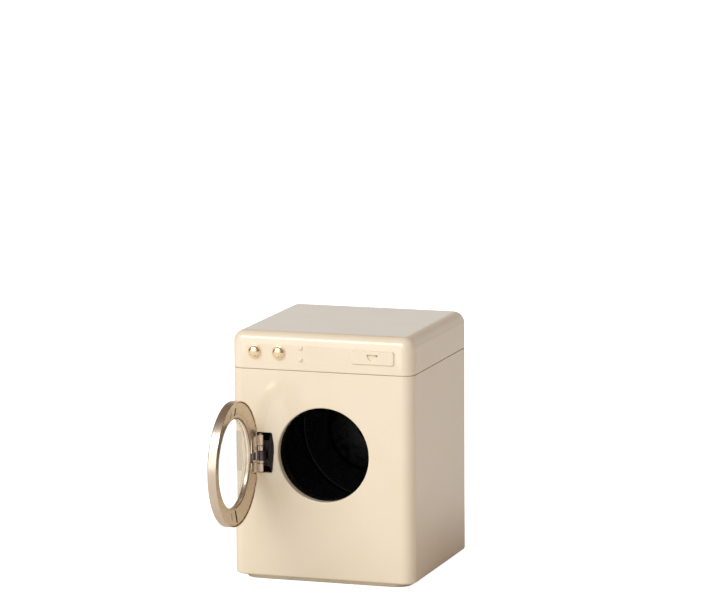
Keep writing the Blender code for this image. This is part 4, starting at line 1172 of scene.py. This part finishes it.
@dataclass
class HingePost(SubAssembly):
    """What the door hangs on: the blackened bracket, its two screws, the pin, the spacer and the washer."""

    axis: Point = (PIN, FRONT, 0.0)
    pin_radius: float = 0.0007
    head_radius: float = 0.0011
    bore: float = 0.00085
    eased: float = 0.00018

    def build(self) -> None:
        """Build the post's pieces."""
        bracket = copied_mesh("hinge_bracket", "bracket_strip")
        self.fit(bracket, Body.CABINET, Slot.DARK, ["hinge_bracket"], softened=0.00010)
        placing = Facing.UP.at(self.axis)
        self.turned(
            "pin_rod",
            [
                (0.0, 0.0771, 0.0), (self.head_radius, 0.0771, 0.00025), (self.head_radius, 0.0767, 0.0),
                (self.pin_radius, 0.0767, 0.0), (self.pin_radius, 0.05735, 0.0002), (0.0, 0.05735, 0.0),
            ],
            40, placing, Body.CABINET, Slot.BRIGHT, ["hinge_pin"],
        )
        for name, node, radius, top, bottom in (
            ("spacer_tube", "hinge_spacer", 0.00145, 0.07110, 0.06820),
            ("washer_tube", "hinge_washer", 0.0018, 0.06320, 0.06180),
        ):
            self.turned(
                name,
                [
                    (radius, top, self.eased), (radius, bottom, self.eased), (self.bore, bottom, 0.0),
                    (self.bore, top, 0.0),
                ],
                48, placing, Body.CABINET, Slot.CHAMPAGNE, [node], closed=True,
            )
        self.carry_over(Slot.BRIGHT, "upper_bracket_screw", "lower_bracket_screw")


@dataclass
class Door(SubAssembly):
    """The round door: rim, dished face plate, clear pane, and the hinge pad with its spring and rivet."""

    pivot: Point = (PIN, FRONT, MIDDLE[2])
    reach: float = 0.03368
    gap: float = 0.0004
    rim_radius: float = 0.03213
    flat: float = 0.02928
    depth: float = 0.0048
    edge: float = 0.0008
    sheet: float = 0.0005
    window: float = 0.02278
    window_bend: float = 0.00055
    hem: float = 0.00374
    plate: float = 0.03153
    plate_flat: float = 0.02868
    skirt: float = 0.0018
    brow: float = 0.0003
    hollow: float = 0.0017
    flat_zone: float = 0.0012
    pane: float = 0.0264
    pane_step: float = 0.0227
    pane_face: float = 0.00355
    pane_ledge: float = 0.00371
    pane_top: float = 0.00415
    # What is cut away at the hinge pad, as its lowest and highest corner on the shut door: the way of the
    # pad's neck through the rim's wall, under a thin strip, that strip's groove, and the seat in the dish.
    neck_way: tuple[Point, Point] = ((0.0039, -0.0026, -0.01025), (0.0059, -0.0008, 0.00935))
    strip_groove: tuple[Point, Point] = ((0.00436, -0.00083, -0.0110), (0.00494, 0.0010, 0.0100))
    pad_seat: tuple[Point, Point] = ((0.0030, -0.0047, -0.01012), (0.00997, 0.0020, 0.00922))
    pad_corner: float = 0.0015
    # The slits: how far each lies aside of the middle, half its width, and its lower and upper end.
    slits: tuple[tuple[float, float, float, float], ...] = (
        (0.0, 0.0008, 0.0248, 0.0287),
        (0.0063, 0.0005, 0.0246, 0.0274),
        (0.0, 0.0009, -0.0302, -0.0240),
        (0.0063, 0.0004, -0.0276, -0.0243),
    )

    @property
    def shut_to_open(self) -> Matrix:
        """The transform from the shut door's frame on its pin to the open door in the model."""
        return Matrix.Translation(self.pivot) @ Matrix.Rotation(-QUARTER_TURN, 4, "Z")

    @property
    def outer_side(self) -> Matrix:
        """The transform of pieces turned about the window's middle, depth along their axis."""
        return self.shut_to_open @ Facing.FRONT.at((self.reach, -self.gap, 0.0))

    def build(self) -> None:
        """Build the door's pieces."""
        self.build_rim()
        self.build_dish()
        self.build_pane()
        pad = copied_mesh("door_hinge_block", "hinge_pad")
        pad = self.fit(pad, Body.DOOR, Slot.CHAMPAGNE, ["door_hinge_block"], softened=0.00012)
        groove = Bench()
        groove.block(*self.strip_groove)
        self.notch(pad, groove, self.shut_to_open)
        spring = copied_mesh("hinge_detent_leaf", "detent_spring")
        self.fit(spring, Body.DOOR, Slot.BRIGHT, ["hinge_detent_leaf"], softened=0.00006)
        self.carry_over(Slot.DARK, "hinge_block_rivet")

    def flatten(self, bench: Bench, radius: float, flat: float) -> None:
        """Make the hinge side of a round pressing straight.

        Args:
            bench: The pressing, turned about Z.
            radius: Its outer radius.
            flat: How far the straight side lies from its middle.
        """
        for vert in bench.bm.verts:
            inset = radius - math.hypot(vert.co.x, vert.co.y)
            if inset < self.flat_zone:
                vert.co.x = max(vert.co.x, inset - flat)

    def build_rim(self) -> None:
        """The pressed rim: its wall, its rounded edge and the outer face round the window."""
        bench = Bench()
        bench.turn(
            [
                (self.rim_radius, 0.0, 0.0), (self.rim_radius, self.depth, self.edge),
                (self.window, self.depth, self.window_bend), (self.window, self.hem, 0.0),
            ],
            192, rounding=8,
        )
        self.flatten(bench, self.rim_radius, self.flat)
        mesh = bench.mesh("door_rim", outward=Vector((0.0, 0.0, 1.0)))
        rim = self.fit(mesh, Body.DOOR, Slot.CHAMPAGNE, ["door_ring"], self.sheet, 0.00008, self.outer_side)
        way = Bench()
        way.block(*self.neck_way)
        self.notch(rim, way, self.outer_side.inverted() @ self.shut_to_open)
        mesh.transform(self.outer_side)

    def notch(self, piece: bpy.types.Object, blocks: Bench, placing: Matrix) -> None:
        """Cut openings in a piece of the door, once its sheet has its thickness.

        Args:
            piece: The piece, whose finishing modifiers come after the cut.
            blocks: What is cut away, in the shut door's frame.
            placing: The transform from that frame to the piece's own.
        """
        tool = on_set("notch", blocks.mesh("notch", placing))
        cut = piece.modifiers.new("Notch", "BOOLEAN")
        cut.object = tool
        cut.solver = "EXACT"
        done = 2 if piece.modifiers[0].type == "SOLIDIFY" else 1
        piece.modifiers.move(len(piece.modifiers) - 1, done - 1)
        graph = bpy.context.evaluated_depsgraph_get()
        for later in piece.modifiers[done:]:
            later.show_viewport = False
        graph.update()
        body = bpy.data.meshes.new_from_object(piece.evaluated_get(graph))
        for spent in list(piece.modifiers)[:done]:
            piece.modifiers.remove(spent)
        for later in piece.modifiers:
            later.show_viewport = True
        bm = bmesh.new()
        bm.from_mesh(body)
        bm.to_mesh(piece.data)
        bm.free()
        bpy.data.objects.remove(tool)

    def build_dish(self) -> None:
        """The dished face plate let into the rim, with its skirt outside and its collar round the window."""
        bench = Bench()
        bench.turn(
            [
                (self.plate, self.skirt, 0.0), (self.plate, self.brow, 0.0007),
                (self.window, self.hollow, 0.0008), (self.window, self.pane_face - 0.00002, 0.0),
            ],
            192, rounding=6,
        )
        self.flatten(bench, self.plate, self.plate_flat)
        mesh = bench.mesh("door_dish", outward=Vector((0.0, 0.0, -1.0)))
        dish = self.fit(mesh, Body.DOOR, Slot.CHAMPAGNE, ["door_plate"], self.sheet, 0.00006, self.outer_side)
        cut = Bench()
        cut.block(*self.pad_seat)
        cut.round_edges(cut.edges_along(Axis.Y), self.pad_corner, 6)
        under, over = (corner[1] for corner in self.pad_seat)
        for aside, half, low, high in self.slits:
            middle = self.reach + aside
            cut.block((middle - half, under, low), (middle + half, over, high))
        self.notch(dish, cut, self.outer_side.inverted() @ self.shut_to_open)
        mesh.transform(self.outer_side)

    def build_pane(self) -> None:
        """The clear pane between the dish's collar and the rim's outer face."""
        self.turned(
            "door_glass",
            [
                (0.0, self.pane_top, 0.0), (self.pane_step, self.pane_top, 0.0001),
                (self.pane_step, self.pane_ledge, 0.0), (self.pane, self.pane_ledge, 0.0),
                (self.pane, self.pane_face, 0.0), (0.0, self.pane_face, 0.0),
            ],
            128, self.outer_side, Body.DOOR, Slot.CLEAR, ["door_pane"],
        )


@dataclass
class Dials(SubAssembly):
    """Two domed gold buttons in the cap's front, each on its own stem."""

    places: tuple[tuple[Body, str, float], ...] = (
        (Body.LEFT_DIAL, "left", DIALS[0]),
        (Body.RIGHT_DIAL, "right", DIALS[1]),
    )
    radius: float = 0.0035
    stem: float = 0.0011
    stem_end: float = -0.0028

    def build(self) -> None:
        """Build both dials, and dress the washers and clips behind them."""
        for body, side, x in self.places:
            placing = Facing.FRONT.at((x, FRONT, DIAL_HEIGHT))
            r = self.radius
            self.turned(
                f"dial_button_{side}",
                [
                    (0.0, 0.00232, 0.0), (r * 0.30, 0.00226, 0.0006), (r * 0.58, 0.00198, 0.0006),
                    (r * 0.78, 0.00146, 0.0004), (r * 0.87, 0.00098, 0.00022), (r * 0.87, 0.00046, 0.0),
                    (r * 0.94, 0.00046, 0.0), (r * 0.95, 0.00062, 0.00006), (r, 0.00056, 0.0001),
                    (r, 0.0003, 0.0),
                    (self.stem, 0.0003, 0.0), (self.stem, self.stem_end, 0.0002), (0.0, self.stem_end, 0.0),
                ],
                96, placing, body, Slot.GOLD, [f"dial_{side}"],
            )
            self.carry_over(Slot.BRIGHT, f"dial_{side}_washer", f"dial_{side}_clip")


@dataclass
class Drum(SubAssembly):
    """The black drum: its tub, front ring and lifters, the spindle that carries it and its gold nut."""

    centre: Point = MIDDLE
    outer: float = 0.0383
    inner: float = 0.0371
    lifters: int = 3
    lifter_low: Point = (-0.0045, -0.02995, -0.03653)
    lifter_high: Point = (0.0045, 0.02435, -0.03053)
    crest_share: float = 0.4
    crest_short: float = 0.010
    crest_round: float = 0.0010

    def build(self) -> None:
        """Build the drum's pieces."""
        placing = Facing.BACK.at(self.centre)
        self.turned(
            "drum_tub",
            [
                (self.inner, -0.03665, 0.0), (self.outer, -0.03665, 0.0), (self.outer, 0.02985, 0.0012),
                (0.0240, 0.02985, 0.0006), (0.0215, 0.02735, 0.0006), (0.0070, 0.02735, 0.0004),
                (0.0070, 0.03485, 0.0004), (0.00262, 0.03485, 0.0), (0.00262, 0.02585, 0.0),
                (0.02075, 0.02585, 0.0006), (0.02325, 0.02835, 0.0006), (self.inner, 0.02835, 0.0012),
            ],
            128, placing, Body.DRUM, Slot.BLACK, ["drum_cup"], closed=True,
        )
        self.turned(
            "drum_mouth",
            [
                (0.0274, -0.03695, 0.0), (0.0274, -0.03845, 0.0007), (self.outer, -0.03845, 0.0007),
                (self.outer, -0.03695, 0.0), (0.0368, -0.03695, 0.0), (0.0368, -0.03395, 0.0003),
                (0.0356, -0.03395, 0.0003), (0.0356, -0.03695, 0.0),
            ],
            128, placing, Body.DRUM, Slot.BLACK, ["drum_front_ring"], closed=True,
        )
        for index in range(self.lifters):
            self.build_lifter(index)
        self.turned(
            "spindle_bar",
            [
                (0.0, 0.02405, 0.0), (0.0025, 0.02405, 0.0002), (0.0025, 0.03515, 0.0),
                (0.0042, 0.03515, 0.0002), (0.0042, 0.03675, 0.0002), (0.0025, 0.03675, 0.0),
                (0.0025, 0.0560, 0.0002), (0.0, 0.0560, 0.0),
            ],
            64, placing, Body.DRUM, Slot.BRIGHT, ["drum_spindle"],
        )
        self.turned(
            "tub_nut",
            [
                (0.0, 0.02195, 0.0), (0.0027, 0.02195, 0.0006), (0.0042, 0.0229, 0.0006),
                (0.0048, 0.0242, 0.0005), (0.0048, 0.02555, 0.0002), (0.0028, 0.02555, 0.0),
                (0.0028, 0.02245, 0.0), (0.0, 0.02245, 0.0),
            ],
            64, placing, Body.DRUM, Slot.GOLD, ["drum_cap_nut"],
        )
        self.carry_over(Slot.BRIGHT, "thrust_washer")

    def build_lifter(self, index: int) -> None:
        """One ridge along the tub's wall, narrower at its crest and sloped at both ends.

        Args:
            index: Which of them it is.
        """
        (_, start, base), (_, end, top) = self.lifter_low, self.lifter_high
        bench = Bench()
        bench.block(self.lifter_low, self.lifter_high)
        crest = [vert for vert in bench.bm.verts if vert.co.z > (base + top) / 2]
        middle = Matrix.Translation((0.0, (start + end) / 2, 0.0))
        shorter = (end - start - self.crest_short) / (end - start)
        narrow = Matrix.Diagonal((self.crest_share, shorter, 1.0, 1.0))
        bmesh.ops.transform(bench.bm, matrix=middle @ narrow @ middle.inverted(), verts=crest)
        upper = [edge for edge in bench.bm.edges if any(vert in crest for vert in edge.verts)]
        bench.round_edges(upper, self.crest_round, 4)
        turned = Matrix.Translation(self.centre) @ Matrix.Rotation(FULL_TURN * index / self.lifters, 4, "Y")
        mesh = bench.mesh(f"lifter_rib_{index + 1}", turned)
        self.fit(mesh, Body.DRUM, Slot.BLACK, [f"drum_lifter_{index + 1}"])


@dataclass
class RearDrive(SubAssembly):
    """Behind the cabinet: the bush and its ring nut, and the fluted hand knob that turns the drum."""

    centre: Point = MIDDLE
    knob: float = 0.0080
    flutes: int = 12
    flute_radius: float = 0.0012
    flute_out: float = 0.0008
    spindle: float = 0.00262
    neck: float = 0.00442

    def build(self) -> None:
        """Build the rear pieces."""
        placing = Facing.BACK.at(self.centre)
        self.turned(
            "bearing_bush",
            [
                (self.neck, 0.03785, 0.0002), (self.neck, 0.04565, 0.0), (0.0080, 0.04565, 0.0003),
                (0.0080, 0.04705, 0.0), (self.neck, 0.04705, 0.0), (self.neck, 0.05105, 0.0003),
                (self.spindle, 0.05105, 0.0), (self.spindle, 0.03785, 0.0),
            ],
            64, placing, Body.CABINET, Slot.BLACK, ["rear_bush"], closed=True,
        )
        self.turned(
            "clamp_nut",
            [
                (0.0075, 0.04995, 0.0003), (0.0075, 0.04815, 0.0003), (0.00472, 0.04815, 0.0),
                (0.00472, 0.04995, 0.0002),
            ],
            12, placing, Body.CABINET, Slot.BRIGHT, ["rear_ring_nut"], closed=True,
        )
        self.build_knob(placing)
        screw = copied_mesh("knob_screw", "knob_centre_screw")
        self.fit(screw, Body.DRUM, Slot.BRIGHT, ["knob_screw"], softened=0.00008)

    def build_knob(self, placing: Matrix) -> None:
        """The hand knob, with its flutes cut as round grooves in its wall.

        Args:
            placing: The transform that sets it in place.
        """
        bench = Bench()
        r = self.knob
        bench.turn(
            [
                (self.spindle, 0.0515, 0.0), (r, 0.0515, 0.0009), (r, 0.0585, 0.0009),
                (0.0034, 0.0585, 0.0003), (0.0034, 0.0563, 0.0), (self.spindle, 0.0563, 0.0),
            ],
            240, closed=True, rounding=5,
        )
        flute, reach = self.flute_radius, r + self.flute_out
        pitch = FULL_TURN / self.flutes
        for vert in bench.bm.verts:
            across = math.hypot(vert.co.x, vert.co.y)
            swing = (math.atan2(vert.co.y, vert.co.x) % pitch) - pitch / 2
            aside = reach * math.sin(swing)
            if across > r / 2 and abs(aside) < flute:
                limit = reach * math.cos(swing) - math.sqrt(flute * flute - aside * aside)
                vert.co.xy *= min(1.0, limit / across)
        mesh = bench.mesh("hand_knob", placing)
        self.fit(mesh, Body.DRUM, Slot.CHAMPAGNE, ["rear_knob"], turning=placing)


@dataclass(frozen=True)
class Softbox:
    """A studio light with a large even face."""

    name: str
    place: Point
    size: tuple[float, float]
    power: float
    colour: Colour = (1.0, 1.0, 1.0)
    aim: Point = (0.0, 0.0, 0.065)

    def set_up(self) -> None:
        """Put the light in the scene."""
        lamp = bpy.data.lights.new(self.name, "AREA")
        lamp.shape = "RECTANGLE"
        lamp.size, lamp.size_y = self.size
        lamp.energy = self.power
        lamp.color = self.colour
        stand = on_set(self.name, lamp)
        stand.location = self.place
        stand.rotation_euler = (Vector(self.aim) - Vector(self.place)).to_track_quat("-Z", "Y").to_euler()


@dataclass(frozen=True)
class PhotoCamera:
    """The camera at the photograph's viewing angle, from a fit of the cabinet's own edges."""

    azimuth: float = 0.324255
    elevation: float = 0.193358
    distance: float = 2.237260
    pixels: float = 4288.2
    yaw: float = 0.002239
    pitch: float = 0.033301
    roll: float = -0.006151
    aim: Point = (0.0, 0.0, 0.065)
    image_width: int = 720
    sensor: float = 36.0

    def set_up(self) -> None:
        """Put the camera in the scene and make it the scene's own."""
        level = math.cos(self.elevation)
        right = Vector((math.cos(self.azimuth), math.sin(self.azimuth), 0.0))
        back = Vector((right.y * level, -right.x * level, math.sin(self.elevation)))
        up = back.cross(right)
        across = right * math.cos(self.yaw) + back * math.sin(self.yaw)
        ahead = right * math.sin(self.yaw) - back * math.cos(self.yaw)
        rise = up * math.cos(self.pitch) - ahead * math.sin(self.pitch)
        ahead = up * math.sin(self.pitch) + ahead * math.cos(self.pitch)
        side = across * math.cos(self.roll) + rise * math.sin(self.roll)
        top = rise * math.cos(self.roll) - across * math.sin(self.roll)
        lens = bpy.data.cameras.new("Photo camera")
        lens.sensor_width = self.sensor
        lens.lens = self.pixels * self.sensor / self.image_width
        camera = on_set("Photo camera", lens)
        turn = Matrix((side, top, -ahead)).transposed().to_4x4()
        camera.matrix_world = Matrix.Translation(Vector(self.aim) + back * self.distance) @ turn
        bpy.context.scene.camera = camera


@dataclass(frozen=True)
class Studio:
    """A pale floor with painted shade near the toy and a painted glow farther out, a soft surround and the
    softboxes.
    """

    floor_reach: float = 6.0
    floor_colour: Colour = (0.90, 0.885, 0.865)
    # Painted shade: the floor's darker colour near the toy stands in for the shade round its foot.
    floor_painted_shade: Colour = (0.78, 0.74, 0.70)
    painted_shade_start: float = 0.060
    painted_shade_end: float = 0.150
    floor_glow: float = 0.95
    # Painted light: a glow of the floor away from the toy, which only reflected and bounced rays see.
    floor_painted_glow: float = 0.16
    pale: Colour = (0.985, 0.995, 1.0)
    warm: Colour = (1.0, 0.775, 0.655)
    bright_side: Point = (-0.45, -0.86, 0.24)
    falloff: float = 3.0
    bright: float = 1.92
    dim: float = 0.27
    side_way: Point = (0.80, 0.55, 0.20)
    side_light: float = 0.10
    side_falloff: float = 4.0
    flag: float = 0.15
    flag_edge: tuple[float, float] = (-0.92, -0.72)
    backdrop: float = 0.70
    backdrop_top: tuple[float, float] = (0.20, 0.50)
    backdrop_side: tuple[float, float] = (0.2, 0.8)
    lights: tuple[Softbox, ...] = (
        Softbox("Key softbox", (-0.50, -1.01, 1.20), (1.3, 0.50), 10.5, (0.985, 0.995, 1.0)),
    )

    def set_up(self) -> None:
        """Put the floor, the surround and the lights in the scene."""
        self.lay_floor()
        self.hang_surround()
        for light in self.lights:
            light.set_up()
        bpy.context.scene.view_settings.view_transform = "Standard"

    def hang_surround(self) -> None:
        """The room's soft light: strong from the front left, dim from the right, with a pale low backdrop."""
        world = bpy.data.worlds.new("Studio surround")
        world.use_nodes = True
        w = Wiring(world.node_tree)
        way = w.add("ShaderNodeTexCoord").outputs["Generated"]
        toward = w.vector("DOT_PRODUCT", way, Vector(self.bright_side).normalized()[:], out="Value")
        parts = w.add("ShaderNodeSeparateXYZ", {0: way}).outputs
        lobe = w.maths("POWER", w.maths("MAXIMUM", toward, 0.0), self.falloff)
        low = w.spread(parts["Z"], *self.backdrop_top, 1.0, 0.0)
        behind = w.maths("MULTIPLY", low, w.spread(parts["Y"], *self.backdrop_side, 0.0, 1.0))
        aside = w.vector("DOT_PRODUCT", way, Vector(self.side_way).normalized()[:], out="Value")
        aside = w.maths("POWER", w.maths("MAXIMUM", aside, 0.0), self.side_falloff)
        front = w.spread(lobe, 0.0, 1.0, self.dim, self.bright)
        front = w.maths("MULTIPLY", front, w.spread(parts["X"], *self.flag_edge, self.flag, 1.0))
        front = w.maths("MULTIPLY_ADD", aside, self.side_light, front)
        light = world.node_tree.nodes["Background"].inputs
        w.feed(light["Strength"], w.maths("MAXIMUM", front, w.maths("MULTIPLY", behind, self.backdrop)))
        share = w.maths("MAXIMUM", w.spread(lobe, 0.0, 0.4, 0.0, 1.0), behind)
        w.feed(light["Color"], w.mixed(share, self.warm, self.pale))
        bpy.context.scene.world = world

    def lay_floor(self) -> None:
        """The pale floor that the toy stands on: evenly white to the camera, with painted shade in its colour
        near the toy and a painted glow farther out for reflected and bounced light.
        """
        bm = bmesh.new()
        bmesh.ops.create_grid(bm, x_segments=1, y_segments=1, size=self.floor_reach)
        mesh = bpy.data.meshes.new("studio_floor")
        bm.to_mesh(mesh)
        bm.free()
        floor = on_set("studio_floor", mesh)
        recipe = Recipe("Pale floor")
        w = recipe.wiring
        ray = w.add("ShaderNodeLightPath").outputs
        seen = w.maths("MAXIMUM", ray["Is Camera Ray"], ray["Is Transmission Ray"])
        # Painted shade and light on the floor: a darker colour close to the toy that fades out farther away,
        # and a glow that grows with distance for rays other than the camera's; camera rays see an even white
        # glow.
        distance = w.vector("LENGTH", recipe.place, out="Value")
        far = w.spread(distance, self.painted_shade_start, self.painted_shade_end, 0.0, 1.0)
        glow = w.maths("MULTIPLY", seen, self.floor_glow)
        lift = w.maths("MULTIPLY", far, self.floor_painted_glow)
        recipe.set(Emission_Color=(1.0, 1.0, 1.0, 1.0), Emission_Strength=w.maths("MAXIMUM", glow, lift))
        recipe.set(Base_Color=w.mixed(far, self.floor_painted_shade, self.floor_colour), Roughness=0.9)
        mesh.materials.append(recipe.material)


def main() -> None:
    """Build every sub-assembly and the studio."""
    logging.basicConfig(level=logging.INFO, format="%(message)s")
    PhotoCamera().set_up()
    finishes = Finishes()
    for assembly in (Cabinet, Porthole, HingePost, Door, Dials, Drum, RearDrive):
        assembly(finishes).build()
        log.info("%s is finished", assembly.__name__)
    Studio().set_up()


if __name__ == "__main__":
    main()
